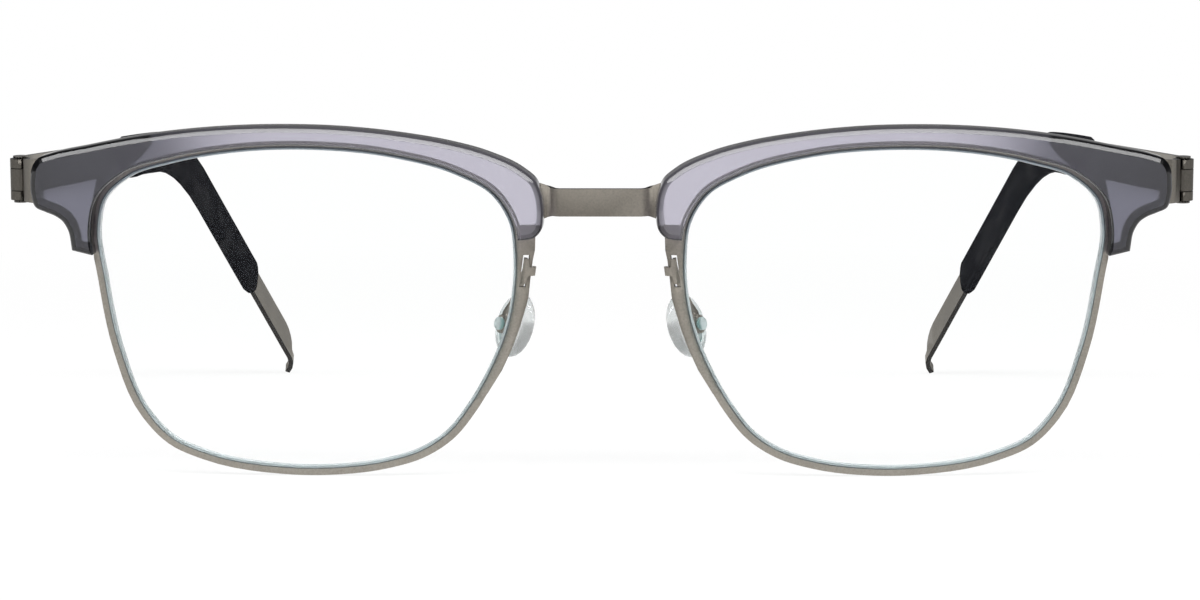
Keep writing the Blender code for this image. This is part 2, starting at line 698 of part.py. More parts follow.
def pad_arm(name, side, parent):
    """A strip that hooks round the strap's bar through the slot and carries the pad's eyelet."""
    seat = pad_frame(side) @ Vector((0, pad_standoff(), 0))
    outward = (pad_frame(side).to_3x3() @ Vector((0, 1, 0))).normalized()
    long_way = (pad_frame(side).to_3x3() @ Vector((0, 0, 1))).normalized()
    wide_way = long_way.cross(outward) * side
    level = (SLOT_TOP + SLOT_BOTTOM) / 2
    bar_edge = EYE_CENTRE + strap_edge(level)
    slot_edge = bar_edge + SLOT_BAR
    lean = strap_edge(SLOT_TOP) - strap_edge(SLOT_BOTTOM)
    up = Vector((side * lean, 0, SLOT_TOP - SLOT_BOTTOM)).normalized()
    half = ARM_THICKNESS / 2
    out = HALF_SHEET + HOOK_CLEARANCE + half
    wrap = bar_edge - HOOK_CLEARANCE - half
    through = slot_edge + HOOK_CLEARANCE + half

    def at(across, back, height=level):
        return Vector((side * across, eye_depth(slot_edge, level) + back, height))

    tab, hook, arm = HOOK_TAB_HEIGHT / 2, HOOK_HEIGHT / 2, ARM_WIDTH / 2
    stations = [(at(wrap, HALF_SHEET), up, tab), (at(wrap, half - out), up, tab),
                (at(wrap + half, -out), up, tab), (at(bar_edge + half, -out), up, tab),
                (at(bar_edge + 2 * half, -out), up, hook), (at(through - half, -out), up, hook),
                (at(through, half - out), up, hook), (at(through, out), up, hook)]
    start = at(through, out + half)
    stations.append((start, up, arm))
    end = seat + long_way * (EYELET_RADIUS + EYELET_BORE_RADIUS) / 2
    way = end - start
    for across, back, rise in ARM_ROUTE_SHARES:
        place = start + Vector((way.x * across, way.y * back, way.z * rise))
        stations.append((place, up.lerp(wide_way, rise), arm))
    for beyond in (EYELET_BORE_RADIUS, 0.0):
        stations.append((end + long_way * beyond, wide_way, arm * ARM_END_SHARE))
    bm = bmesh.new()
    ribbon(bm, stations)
    piece = new_object(name, finished_mesh(name, bm), parent, "titanium")
    thickened(piece, ARM_THICKNESS)
    face = EYELET_HEIGHT / 2
    profile = [(EYELET_RADIUS, face), (EYELET_RADIUS, -face), (EYELET_BORE_RADIUS, -face),
               (EYELET_BORE_RADIUS, face)]
    place = Matrix.Translation(seat) @ pad_frame(side).to_3x3().to_4x4() @ ALONG_Y
    eyelet = combined(piece, profile_mesh(name + "_eyelet", profile, closed=True), place, "UNION")
    turned(eyelet)
    return piece


# Temples
def tilt_of_front():
    return Matrix.Rotation(PANTOSCOPIC_ANGLE, 4, "X")


def ear_angle():
    """How far the temple bends down, so that its tip reaches the table the rims stand on."""
    turn = tilt_of_front()
    rim_foot = min((turn @ Vector((0, eye_depth(EYE_CENTRE, point.y), point.y))).z
                   for point in grown(lens_outline(), RIM_WIDTH - LENS_GROOVE_DEPTH + LENS_GROOVE_CLEARANCE))
    shoulder = (turn @ Vector((0, HINGE_AXIS.y + TEMPLE_SHOULDER, HINGE_LEVEL))).z
    drop = shoulder - rim_foot
    low, high = 0.0, math.pi / 2
    for _ in range(HALVINGS):
        angle = (low + high) / 2
        tail = TEMPLE_LENGTH - TEMPLE_TO_BEND - TEMPLE_BEND_RADIUS * angle
        reach = TEMPLE_BEND_RADIUS * (1 - math.cos(angle)) + tail * math.sin(angle)
        reach += TEMPLE_TIP_HEIGHT / 2 * math.cos(angle)
        low, high = (angle, high) if reach < drop else (low, angle)
    return angle


EAR_ANGLE = ear_angle()


def temple_place(length):
    """The strip's middle line at a length from the pin: inward, back and up, and its up direction."""
    angle = min(max((length - TEMPLE_TO_BEND) / TEMPLE_BEND_RADIUS, 0.0), EAR_ANGLE)
    past = max(length - TEMPLE_TO_BEND - TEMPLE_BEND_RADIUS * EAR_ANGLE, 0.0)
    back = min(length, TEMPLE_TO_BEND) + TEMPLE_BEND_RADIUS * math.sin(angle) + past * math.cos(EAR_ANGLE)
    down = TEMPLE_BEND_RADIUS * (1 - math.cos(angle)) + past * math.sin(EAR_ANGLE)
    start = TEMPLE_TO_BEND - INWARD_BLEND_LENGTH / 2
    gentle, steep = math.sin(TEMPLE_INWARD_ANGLE), math.sin(TIP_INWARD_ANGLE)
    into = min(max(length - start, 0.0), INWARD_BLEND_LENGTH)
    beyond = max(length - start - INWARD_BLEND_LENGTH, 0.0)
    inward = gentle * length + (steep - gentle) * (into**2 / (2 * INWARD_BLEND_LENGTH) + beyond)
    up = Vector((0, math.sin(angle), math.cos(angle)))
    return Vector((-inward, back, -down)), up


def temple_station(length, side):
    place, up = temple_place(length)
    ahead, _ = temple_place(length + SLOPE_STEP)
    along = (ahead - place).normalized()
    up = (up - along * up.dot(along)).normalized()
    upright = ease(length, TEMPLE_SHOULDER, TEMPLE_LEVELLED_LENGTH)
    level = Matrix.Rotation(-PANTOSCOPIC_ANGLE, 3, "X")
    shoulder = Vector((0, TEMPLE_SHOULDER, 0))
    if length > TEMPLE_SHOULDER:
        place = shoulder + level @ (place - shoulder)
    up = Vector((0, 0, 1)).lerp(level @ up, upright)
    place.x += ROLL_RADIUS
    return Vector((side * place.x, place.y, place.z)), Vector((side * up.x, up.y, up.z))


def strip_half(length):
    """Half the strip's height, which tapers from the shoulder to the tip."""
    return mix(TEMPLE_HEIGHT, TEMPLE_TIP_HEIGHT, length / TEMPLE_LENGTH) / 2


def spread(start, end, step):
    """Lengths from start up to but not with end, no further apart than the step."""
    count = math.ceil((end - start) / step)
    return [mix(start, end, k / count) for k in range(count)]


def sleeve_lengths():
    """Where along the strip the sleeve's sections lie, which the strip's own sections share."""
    start, end = SLEEVE_START, SLEEVE_START + SLEEVE_LENGTH
    return [start] + spread(start + SLEEVE_END_ROUND, end - SLEEVE_END_ROUND, SLEEVE_STEP) + [
        end - SLEEVE_END_ROUND, end]


def temple(name, side, parent):
    """One strip: the knuckle rolled round the pin, the shoulder, the long taper and the hooked tip."""
    stations = []
    for k in range(ROLL_STEPS, 0, -1):
        angle = ROLL_ANGLE * k / ROLL_STEPS
        spot = Vector((side * ROLL_RADIUS * math.cos(angle), -ROLL_RADIUS * math.sin(angle), 0))
        stations.append((spot, Vector((0, 0, 1)), KNUCKLE_HEIGHT / 2))
    for length in (0.0, TEMPLE_SHOULDER):
        stations.append((*temple_station(length, side), KNUCKLE_HEIGHT / 2))
    covered = sleeve_lengths()
    end = TEMPLE_LENGTH - TIP_HOOK_LENGTH - TIP_ROUND_LENGTH
    lengths = spread(TEMPLE_SHOULDER + HALF_SHEET, covered[0], TEMPLE_STEP) + covered
    lengths += spread(covered[-1], end, SLEEVE_STEP)[1:] + [end]
    for length in lengths:
        stations.append((*temple_station(length, side), strip_half(length)))
    drop = TEMPLE_TIP_HEIGHT - TIP_HOOK_HEIGHT
    for share in TIP_ROUND_SHARES:
        place, up = temple_station(end + TIP_ROUND_LENGTH * share, side)
        cut = drop * (1 - math.sqrt(1 - share**2))
        stations.append((place - up * cut / 2, up, (TEMPLE_TIP_HEIGHT - cut) / 2))
    for share in TIP_HOOK_SHARES:
        place, up = temple_station(end + TIP_ROUND_LENGTH + TIP_HOOK_LENGTH * share, side)
        out = Vector((side * TIP_HOOK_OUT * share**2, 0, 0))
        stations.append((place - up * drop / 2 + out, up, TIP_HOOK_HEIGHT / 2))
    bm = bmesh.new()
    ribbon(bm, stations)
    piece = new_object(name, finished_mesh(name, bm), parent, "titanium")
    thickened(piece, SHEET_THICKNESS)
    return piece


def sleeve(name, side, parent):
    """A soft sleeve over the ear bend, with a through slot for the strip."""
    spots = sleeve_lengths()
    bm = bmesh.new()
    outer_rings, inner_rings = [], []
    for index, length in enumerate(spots):
        place, up = temple_station(length, side)
        ahead, _ = temple_station(length + SLEEVE_END_ROUND, side)
        along = (ahead - place).normalized()
        up = (up - along * up.dot(along)).normalized()
        across = along.cross(up)
        rounding = SLEEVE_END_ROUND / 4 if index in (0, len(spots) - 1) else 0.0
        tall, wide = SLEEVE_HEIGHT / 2 - rounding, SLEEVE_THICKNESS / 2 - rounding
        slot_tall, slot_wide = strip_half(length) + SLEEVE_CLEARANCE, HALF_SHEET + SLEEVE_CLEARANCE
        outer, inner = [], []
        for k in range(ROUND_SIDES):
            angle = k * math.tau / ROUND_SIDES
            cos, sin = math.cos(angle), math.sin(angle)
            bulge = (abs(cos)**SLEEVE_SQUARENESS + abs(sin)**SLEEVE_SQUARENESS)**(-1 / SLEEVE_SQUARENESS)
            outer.append(place + across * cos * bulge * wide + up * sin * bulge * tall)
            square = 1 / max(abs(cos), abs(sin))
            inner.append(place + across * cos * square * slot_wide + up * sin * square * slot_tall)
        outer_rings.append(ring_of(bm, outer))
        inner_rings.append(ring_of(bm, inner))
    joined_rings(bm, outer_rings)
    joined_rings(bm, inner_rings)
    joined_rings(bm, [outer_rings[0], inner_rings[0]])
    joined_rings(bm, [outer_rings[-1], inner_rings[-1]])
    return new_object(name, finished_mesh(name, bm), parent, "silicone_sleeve")


def hinge_pin(name, parent):
    half = HINGE_HEIGHT / 2 + PIN_HEAD_GAP
    top = half + PIN_HEAD_HEIGHT
    profile = [(0.0, top), (PIN_HEAD_RADIUS, top), (PIN_HEAD_RADIUS, half), (PIN_RADIUS, half),
               (PIN_RADIUS, -half), (PIN_HEAD_RADIUS, -half), (PIN_HEAD_RADIUS, -top), (0.0, -top)]
    piece = new_object(name, profile_mesh(name, profile), parent, "pin_steel")
    turned(piece)
    return piece


def new_empty(name, parent, place):
    empty = bpy.data.objects.new(name, None)
    parts.objects.link(empty)
    empty.empty_display_size = PAD_LENGTH
    empty.parent = parent
    empty.matrix_local = place
    return empty


def stand_on_table(root):
    """Move the whole frame so that its box stands on the origin, bottom and centre."""
    bpy.context.view_layer.update()
    graph = bpy.context.evaluated_depsgraph_get()
    corners = []
    for piece in parts.objects:
        if piece.type != "MESH":
            continue
        shown = piece.evaluated_get(graph)
        corners += [shown.matrix_world @ vert.co for vert in shown.data.vertices]
    low = Vector([min(corner[k] for corner in corners) for k in range(3)])
    high = Vector([max(corner[k] for corner in corners) for k in range(3)])
    root.location = -Vector(((low.x + high.x) / 2, (low.y + high.y) / 2, low.z))
    bpy.context.view_layer.update()


def new_collection(name):
    collection = bpy.data.collections.new(name)
    bpy.context.scene.collection.children.link(collection)
    return collection


for item in list(bpy.data.objects):
    bpy.data.objects.remove(item, do_unlink=True)

parts = new_collection("eyeglass_frame")
cutters = new_collection("cutters")
stand = new_empty("stand", None, Matrix.Identity(4))
front = new_empty("front_tilt", stand, tilt_of_front())
front_chassis(front)
for word, sign in SIDES.items():
    lens("lens_" + word, sign, front)
    brow("brow_" + word, sign, front)
    pad_arm("pad_arm_" + word, sign, front)
    pad_pivot = new_empty("pad_pivot_" + word, front,
                          pad_frame(sign) @ Matrix.Translation((0, pad_standoff(), 0)))
    nose_pad("nose_pad_" + word, pad_pivot)
    pad_core("pad_core_" + word, pad_pivot)
    hinge = new_empty("hinge_axis_" + word, front,
                      Matrix.Translation((sign * HINGE_AXIS.x, HINGE_AXIS.y, HINGE_LEVEL)))
    hinge_pin("hinge_pin_" + word, hinge)
    temple("temple_" + word, sign, hinge)
    sleeve("temple_sleeve_" + word, sign, hinge)
stand_on_table(stand)
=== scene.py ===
"""Browline eyeglasses: finishes, lenses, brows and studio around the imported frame.

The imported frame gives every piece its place. The metal, the pads, their cores and the sleeves are
welded and smoothed copies of its parts, and the lenses and brows are drawn again with finer curves.
Lengths are in metres, +Z is up and the glasses face -Y. The wearer's left is at +X.
"""
import json
import math

import bmesh
import bpy
from bpy.props import FloatProperty, FloatVectorProperty, PointerProperty
from bpy.types import Operator, Panel, PropertyGroup
from mathutils import Matrix, Vector, geometry

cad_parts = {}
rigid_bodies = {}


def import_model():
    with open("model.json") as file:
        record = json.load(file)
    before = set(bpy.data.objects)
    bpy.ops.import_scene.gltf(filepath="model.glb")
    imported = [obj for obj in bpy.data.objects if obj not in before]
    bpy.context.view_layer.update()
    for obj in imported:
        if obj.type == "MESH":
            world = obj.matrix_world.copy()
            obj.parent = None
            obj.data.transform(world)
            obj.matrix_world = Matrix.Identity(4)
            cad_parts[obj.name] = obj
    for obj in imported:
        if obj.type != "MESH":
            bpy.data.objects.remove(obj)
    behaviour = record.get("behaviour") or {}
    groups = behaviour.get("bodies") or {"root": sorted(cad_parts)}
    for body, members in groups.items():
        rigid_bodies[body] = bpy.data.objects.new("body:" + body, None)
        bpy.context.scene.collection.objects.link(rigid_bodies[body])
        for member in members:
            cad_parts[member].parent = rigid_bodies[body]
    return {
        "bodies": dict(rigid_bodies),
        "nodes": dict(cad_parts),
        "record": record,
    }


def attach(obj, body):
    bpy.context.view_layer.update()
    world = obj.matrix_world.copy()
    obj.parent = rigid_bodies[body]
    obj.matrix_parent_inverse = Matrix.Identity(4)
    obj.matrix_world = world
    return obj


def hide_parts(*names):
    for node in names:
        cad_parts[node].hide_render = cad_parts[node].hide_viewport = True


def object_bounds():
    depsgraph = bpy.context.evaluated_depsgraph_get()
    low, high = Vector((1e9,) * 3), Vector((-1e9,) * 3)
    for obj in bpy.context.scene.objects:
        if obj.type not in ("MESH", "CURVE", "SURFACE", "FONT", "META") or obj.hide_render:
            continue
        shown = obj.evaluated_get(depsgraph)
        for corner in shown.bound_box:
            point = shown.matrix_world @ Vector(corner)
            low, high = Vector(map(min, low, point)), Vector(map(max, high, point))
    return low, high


bl_info = {
    "name": "Browline Eyeglasses",
    "version": (1, 0, 0),
    "blender": (4, 5, 0),
    "location": "View3D > Sidebar > Eyeglasses",
    "description": "Dresses a packed browline eyeglass frame and sets it in a pale studio",
    "category": "Object",
}

MM = 0.001

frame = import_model()
CAD_LOW, CAD_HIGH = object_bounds()
SIDES = {"left": 1, "right": -1}
BODY_OF = {node: body for body, nodes in frame["record"]["behaviour"]["bodies"].items() for node in nodes}

# Lens and sheet sizes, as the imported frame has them
LENS_WIDTH = 50.0 * MM
LENS_HEIGHT = 38.6 * MM
LENS_THICKNESS = 1.8 * MM
LENS_SURFACE_RADIUS = 125.0 * MM
LENS_GROOVE_DEPTH = 0.35 * MM
LENS_GROOVE_HALF = 0.43 * MM
BRIDGE_WIDTH = 20.0 * MM
FACE_FORM_SLOPE = math.tan(math.radians(3.0))
SHEET_HALF = 0.35 * MM
BRIDGE_FACE_DEPTH = 1.068 * MM
BRIDGE_LEVEL = 12.7 * MM
LUG_START = 66.6 * MM
LUG_START_REACH = 6.6 * MM
LUG_LEVELLED_REACH = 1.0 * MM
LUG_LEVEL = 14.6 * MM

# Brow sizes
BROW_THICKNESS = 3.1 * MM
BROW_SEAT = 0.12 * MM
BROW_BACK = -SHEET_HALF - BROW_SEAT
BROW_REVEAL = 0.45 * MM
BROW_NOSE_END = 8.5 * MM
BROW_FOOT_END = 6.3 * MM
BROW_CORNER_STRETCH = 0.85 * MM
BROW_MESH_SPACING = 2.4 * MM

# Where a finish changes: distances out from the middle plane, then places along Y
BRIDGE_MATT_START, BRIDGE_MATT_END = 9.0 * MM, 11.0 * MM
PAD_BACK_START, PAD_BACK_END = 10.4 * MM, 11.6 * MM
# Past these the brows get painted shade, darker towards the temples' end
OUTER_PAINTED_SHADE_START, OUTER_PAINTED_SHADE_END = 38.0 * MM, 60.0 * MM
# Between these the rolled ends at the hinges get painted shade
ROLLED_START, ROLLED_END = 66.8 * MM, 70.6 * MM
KNUCKLE_BACK = -48.0 * MM
# The rolled ends' painted shade is full ahead of KNUCKLE_BACK and gone behind this
PAINTED_END_SHADE_BACK = -44.0 * MM

# Where the rim of a pad's core starts and is full, out from its middle in shares of its box
CORE_RIM_START, CORE_RIM_END = 0.34, 0.46

# How strongly the sleeves show rubbed places and lint
RUBBED_STRENGTH, LINT_STRENGTH = 3.0, 0.15

# Where a finish or a normal changes with a face's turn, as cosines
# Between these the acetate's painted wall shade fades into its face
WALL_COSINE, FACE_COSINE = 0.80, 0.975
MATT_START_COSINE, MATT_END_COSINE = 0.5, 0.7
CUT_EDGE_COSINE = 0.5
LUG_CUT_EDGE_COSINE = 0.7
CAP_COSINE = math.cos(math.radians(7.0))

# Steps and tolerances of the meshes
OUTLINE_STEPS = 9
WELD = 0.001 * MM
SLOPE_STEP = 0.2 * MM
FILL_TOLERANCE = 0.0004 * MM
MITRE_SINE = math.sin(math.radians(20.0))
SMOOTH_ANGLE = math.radians(32.0)
DRAWN_SMOOTH_ANGLE = math.radians(24.0)
FRONT_SMOOTH_ANGLE = math.radians(52.0)
SLEEVE_SMOOTH_ANGLE = math.radians(50.0)

# How strongly each clear material bends light
ACETATE_IOR = 1.48
ACRYLIC_IOR = 1.49
CORE_IOR = 1.5
SILICONE_IOR = 1.41

# Studio sizes and places
FLOOR_SIZE = 60.0
FLOOR_CUTS = 40
FLOOR_DROP = 0.02 * MM
FLOOR_WHITE_START, FLOOR_WHITE_END = 120.0 * MM, 360.0 * MM
CEILING_START_SHARE, CEILING_END_SHARE = 0.05, 0.18
SIDES_START_SHARE, SIDES_END_SHARE = 0.30, 0.70
KEY_LAMP_PLACE = Vector((0.0, -0.60, 0.82))
KEY_LAMP_WIDTH, KEY_LAMP_HEIGHT = 2.5, 0.30
SIDE_LAMP_PLACE = Vector((0.85, -0.45, 0.30))
SIDE_LAMP_SIZE = 0.40
NEAREST_SEEN, FARTHEST_SEEN = 0.02, 30.0

# Outward and up from the lens's middle, as shares of half its width and height
LENS_OUTLINE_SHARES = (
    (-1.000, 0.350), (-0.969, -0.069), (-0.855, -0.438), (-0.772, -0.618), (-0.669, -0.782),
    (-0.534, -0.894), (-0.383, -0.954), (-0.091, -1.000), (0.123, -0.997), (0.500, -0.916),
    (0.654, -0.830), (0.771, -0.675), (0.898, -0.272), (0.967, 0.164), (1.000, 0.500),
    (0.973, 0.660), (0.848, 0.816), (0.650, 0.904), (0.363, 0.975), (-0.038, 1.000),
    (-0.424, 0.951), (-0.732, 0.838), (-0.891, 0.719), (-0.983, 0.524))

# The brow's outer edge in the same shares, from the foot's outer corner over the top to the nose
BROW_EDGE_SHARES = (
    (1.110, 0.351), (1.131, 0.483), (1.157, 0.532), (1.192, 0.561), (1.241, 0.584),
    (1.290, 0.612), (1.309, 0.680), (1.312, 0.779), (1.298, 0.873), (1.270, 0.918), (1.228, 0.939),
    (1.032, 0.999), (0.838, 1.049), (0.643, 1.089), (0.259, 1.133), (0.069, 1.138), (-0.121, 1.133),
    (-0.498, 1.084), (-0.686, 1.040), (-0.874, 0.971), (-1.039, 0.867), (-1.098, 0.799),
    (-1.121, 0.729), (-1.132, 0.649), (-1.133, 0.576), (-1.122, 0.495), (-1.090, 0.454),
    (-1.050, 0.442))

# The brow's rounded edge from the wall to the face: a steep part, then the polished bevel.
# Each point is a share of the bevel's width inwards and of its depth back from the face.
BEVEL_SECTION_SHARES = (
    (0.0, 2.20), (0.01, 2.08), (0.05, 1.98), (0.38, 0.98), (0.44, 0.897), (1.18, 0.133),
    (1.25, 0.06), (1.34, 0.012), (1.44, 0.0))


# Settings
def colour_property(label, text, value):
    return FloatVectorProperty(name=label, description=text, default=value, subtype="COLOR",
                               size=3, min=0.0, max=1.0)


def share_property(label, text, value):
    return FloatProperty(name=label, description=text, default=value, min=0.0, max=1.0, subtype="FACTOR")


def length_property(label, text, value):
    return FloatProperty(name=label, description=text, default=value, min=0.0, unit="LENGTH", precision=5)


def power_property(label, text, value):
    return FloatProperty(name=label, description=text, default=value, min=0.0, unit="POWER")


class EYEFRAME_PG_metal(PropertyGroup):
    """Blasted titanium and the steel pins."""

    colour: colour_property("Titanium", "Colour of the blasted titanium sheet", (0.338, 0.314, 0.276))
    roughness: share_property("Roughness", "How matt the titanium is", 0.50)
    bridge_roughness: share_property("Bridge roughness", "Roughness that the bridge has on top", 0.25)
    # Painted shade: the thin cut edges are coloured near black instead of reflecting the bright room
    cut_edge_shade: colour_property("Cut edge shade", "Painted shade on the sheet's cut edges", (0.035, 0.033, 0.031))
    cut_roughness: share_property("Cut roughness", "How matt the cut edges are", 0.36)
    # Painted shade: the rolled ends are coloured darker where the sheet bends away from the light
    painted_end_shade: share_property("Painted end shade", "Painted shade on the rolled ends at the hinges", 0.35)
    grain: length_property("Grain", "Size of the blasted grain", 0.24 * MM)
    pin_colour: colour_property("Pins", "Colour of the steel pins", (0.40, 0.38, 0.35))
    pin_roughness: share_property("Pin roughness", "How matt the pins are", 0.30)


class EYEFRAME_PG_acetate(PropertyGroup):
    """The translucent brows."""

    surface: colour_property("Acetate surface", "Tint of the brow's surface", (0.95, 0.94, 0.965))
    # Painted shade: the brow darkens towards the temples' end
    painted_outer_shade: colour_property("Painted outer shade", "Painted shade at the temples' end", (0.36, 0.37, 0.42))
    # Painted shade: walls and the steep edge are darkened where the room round them is dim
    painted_wall_shade: share_property("Painted wall shade", "Painted shade on the side walls and the steep edge", 0.03)
    kept: colour_property("Acetate tint", "What the inside keeps of each colour", (0.30, 0.27, 0.42))
    density: FloatProperty(name="Density", description="How strongly the inside absorbs, per metre",
                           default=305.0, min=0.0)
    body: share_property("Body", "How much the acetate lets through instead of scattering", 0.93)
    unmirrored: share_property("Unmirrored", "How far metal reflects what is behind the brow", 0.8)
    roughness: share_property("Roughness", "How far the polish falls short of a mirror", 0.03)
    back_roughness: share_property("Back roughness", "How matt the brow's back is", 0.28)
    bevel_width: length_property("Bevel width", "Scale of the outer edge's rounding inwards", 0.55 * MM)
    lens_bevel_width: length_property("Lens bevel", "The same for the edge beside the lens", 0.15 * MM)
    bevel_depth: length_property("Bevel depth", "Scale of the roundings back from the face", 0.26 * MM)


class EYEFRAME_PG_lens(PropertyGroup):
    """The clear demo lenses."""

    colour: colour_property("Lens", "Tint of the clear lens", (0.995, 1.0, 0.998))
    reflection: colour_property("Reflection", "What the coating leaves of reflections", (0.06, 0.07, 0.08))
    shadow: colour_property("Shadow tint", "Tint of the light that has passed", (0.97, 0.98, 0.98))
    edge_colour: colour_property("Ground edge", "Colour of edge and back bevel", (0.66, 0.74, 0.76))
    # Painted shade: the front bevel is coloured dark as if in the rim's shade
    bevel_shade_colour: colour_property("Shaded bevel", "Painted shade on the front bevel beside the rim", (0.06, 0.07, 0.07))
    edge_roughness: share_property("Edge roughness", "How matt the ground edge is", 0.45)
    edge_body: share_property("Edge body", "How much the ground edge lets through", 0.45)
    front_bevel: length_property("Front bevel", "Width of the front face's bevel", 0.20 * MM)
    back_bevel: length_property("Back bevel", "Width of the back face's bevel", 0.15 * MM)
    bevel_depth: length_property("Bevel depth", "How far the bevels run into the edge", 0.15 * MM)
    spacing: length_property("Mesh spacing", "Distance between points on the lens's faces", 2.4 * MM)


class EYEFRAME_PG_silicone(PropertyGroup):
    """Nose pads, their cores and the temple sleeves."""

    pad_colour: colour_property("Pads", "Tint of the clear silicone", (0.93, 0.935, 0.93))
    pad_back_colour: colour_property("Pad backs", "Tint towards the lenses", (0.72, 0.78, 0.775))
    pad_body: share_property("Pad body", "How much the pads let through", 0.80)
    pad_roughness: share_property("Pad roughness", "How matt the pads are", 0.14)
    core_colour: colour_property("Cores", "Colour of the hard core in each pad", (0.62, 0.70, 0.70))
    rim_colour: colour_property("Core rims", "Colour of the core's thicker rim", (0.20, 0.34, 0.33))
    core_body: share_property("Core body", "How much the cores let through", 0.35)
    core_roughness: share_property("Core roughness", "How matt the cores are", 0.30)
    sleeve_colour: colour_property("Sleeves", "Colour of the temple sleeves", (0.012, 0.012, 0.014))
    lint_colour: colour_property("Lint", "Colour of lint and worn spots", (0.06, 0.06, 0.062))
    sleeve_roughness: share_property("Sleeve roughness", "How matt the sleeves are", 0.62)


class EYEFRAME_PG_studio(PropertyGroup):
    """Floor, light and camera."""

    distance: length_property("Camera distance", "From the camera to the lenses", 450.0 * MM)
    tilt: FloatProperty(name="Camera tilt", description="How far the camera looks down",
                        default=math.radians(4.5), subtype="ANGLE")
    sidestep: length_property("Camera sidestep", "How far the camera stands towards +X", 4.9 * MM)
    aim: length_property("Camera aim", "How far above the lenses' middle the camera aims", 1.2 * MM)
    focal: FloatProperty(name="Focal length", description="In millimetres, on a 36 mm sensor",
                         default=113.64, min=1.0)
    ambient: share_property("Ambient light", "Strength of the light from all round", 0.38)
    ceiling: share_property("Ceiling", "How bright metal and glass see the ceiling", 0.30)
    sides: share_property("Sides", "How bright metal and glass see the room's sides", 0.18)
    key: power_property("Key light", "Power of the key light", 19.0)
    side: power_property("Side lights", "Power of each side light", 0.3)
    floor_colour: colour_property("Floor", "Colour of the floor", (0.93, 0.93, 0.93))
    floor_white: share_property("Floor white", "How far the near floor is seen as white", 0.84)


SETTINGS = {"metal": EYEFRAME_PG_metal, "acetate": EYEFRAME_PG_acetate, "lens": EYEFRAME_PG_lens,
            "silicone": EYEFRAME_PG_silicone, "studio": EYEFRAME_PG_studio}


def settings(name):
    return getattr(bpy.context.scene, "eyeframe_" + name)


# Node trees
def link(tree, source, target):
    tree.links.new(source, target)


def wire(tree, node, **values):
    """Sets or links inputs, each named by its socket with underscores, with a constant or an output."""
    for key, value in values.items():
        socket = node.inputs[key.replace("_", " ")]
        if isinstance(value, bpy.types.NodeSocket):
            link(tree, value, socket)
        else:
            socket.default_value = value


def add(tree, kind, **values):
    """A new node; names in small letters set its options, and the others are wired to its inputs."""
    node = tree.nodes.new(kind)
    for key in [key for key in values if key.islower()]:
        setattr(node, key, values.pop(key))
    wire(tree, node, **values)
    return node


def math_node(tree, operation, first, second):
    """The result of arithmetic on two inputs, each a number or a socket."""
    node = tree.nodes.new("ShaderNodeMath")
    node.operation = operation
    for socket, value in zip(node.inputs, (first, second)):
        if isinstance(value, (int, float)):
            socket.default_value = value
        else:
            link(tree, value, socket)
    return node.outputs[0]


def remapped(tree, value, **values):
    """A value carried from one range to another, and held within it."""
    return add(tree, "ShaderNodeMapRange", Value=value, **values).outputs["Result"]


def scaled(tree, colour, factor):
    """A colour made darker or lighter by a factor."""
    node = add(tree, "ShaderNodeVectorMath", operation="SCALE", Scale=factor)
    link(tree, colour, node.inputs[0])
    return node.outputs[0]


def blended(tree, share, first, second):
    """The first colour where the share is 0 and the second where it is 1."""
    node = add(tree, "ShaderNodeMix", data_type="RGBA", Factor=share, A=(*first, 1.0), B=(*second, 1.0))
    return node.outputs["Result"]


# Node groups shared by the finishes
def new_group(name, inputs, outputs):
    """A shader node group with these sockets, and its input and output nodes."""
    group = bpy.data.node_groups.new(name, "ShaderNodeTree")
    for label, kind, value in inputs:
        socket = group.interface.new_socket(name=label, in_out="INPUT", socket_type=kind)
        socket.default_value = value
    for label, kind in outputs:
        group.interface.new_socket(name=label, in_out="OUTPUT", socket_type=kind)
    return group, group.nodes.new("NodeGroupInput"), group.nodes.new("NodeGroupOutput")


def use_group(tree, group, **values):
    return add(tree, "ShaderNodeGroup", node_tree=group, **values)


def grain_group():
    """Fine blasted grain: speckled colour, uneven roughness and a grainy normal."""
    found = bpy.data.node_groups.get("Blasted grain")
    if found:
        return found
    group, start, end = new_group(
        "Blasted grain",
        [("Color", "NodeSocketColor", (0.5, 0.5, 0.5, 1.0)), ("Speckle", "NodeSocketFloat", 0.2),
         ("Roughness", "NodeSocketFloat", 0.4), ("Unevenness", "NodeSocketFloat", 0.1),
         ("Grain Scale", "NodeSocketFloat", 6000.0), ("Depth", "NodeSocketFloat", 0.2)],
        [("Color", "NodeSocketColor"), ("Roughness", "NodeSocketFloat"), ("Normal", "NodeSocketVector")])
    place = add(group, "ShaderNodeTexCoord").outputs["Object"]
    fine = add(group, "ShaderNodeTexNoise", Vector=place, Scale=start.outputs["Grain Scale"],
               Detail=2.0, Roughness=0.6)
    cloud = add(group, "ShaderNodeTexNoise", Vector=place, Scale=260.0, Detail=3.0)
    centred = math_node(group, "SUBTRACT", fine.outputs["Fac"], 0.5)
    clouded = math_node(group, "SUBTRACT", cloud.outputs["Fac"], 0.5)
    both = math_node(group, "ADD", centred, math_node(group, "MULTIPLY", clouded, 0.5))
    level = math_node(group, "ADD", 1.0, math_node(group, "MULTIPLY", both, start.outputs["Speckle"]))
    uneven = math_node(group, "MULTIPLY", both, start.outputs["Unevenness"])
    bump = add(group, "ShaderNodeBump", Distance=0.02 * MM, Strength=start.outputs["Depth"],
               Height=fine.outputs["Fac"])
    wire(group, end, Color=scaled(group, start.outputs["Color"], level),
         Roughness=math_node(group, "ADD", start.outputs["Roughness"], uneven),
         Normal=bump.outputs["Normal"])
    return group


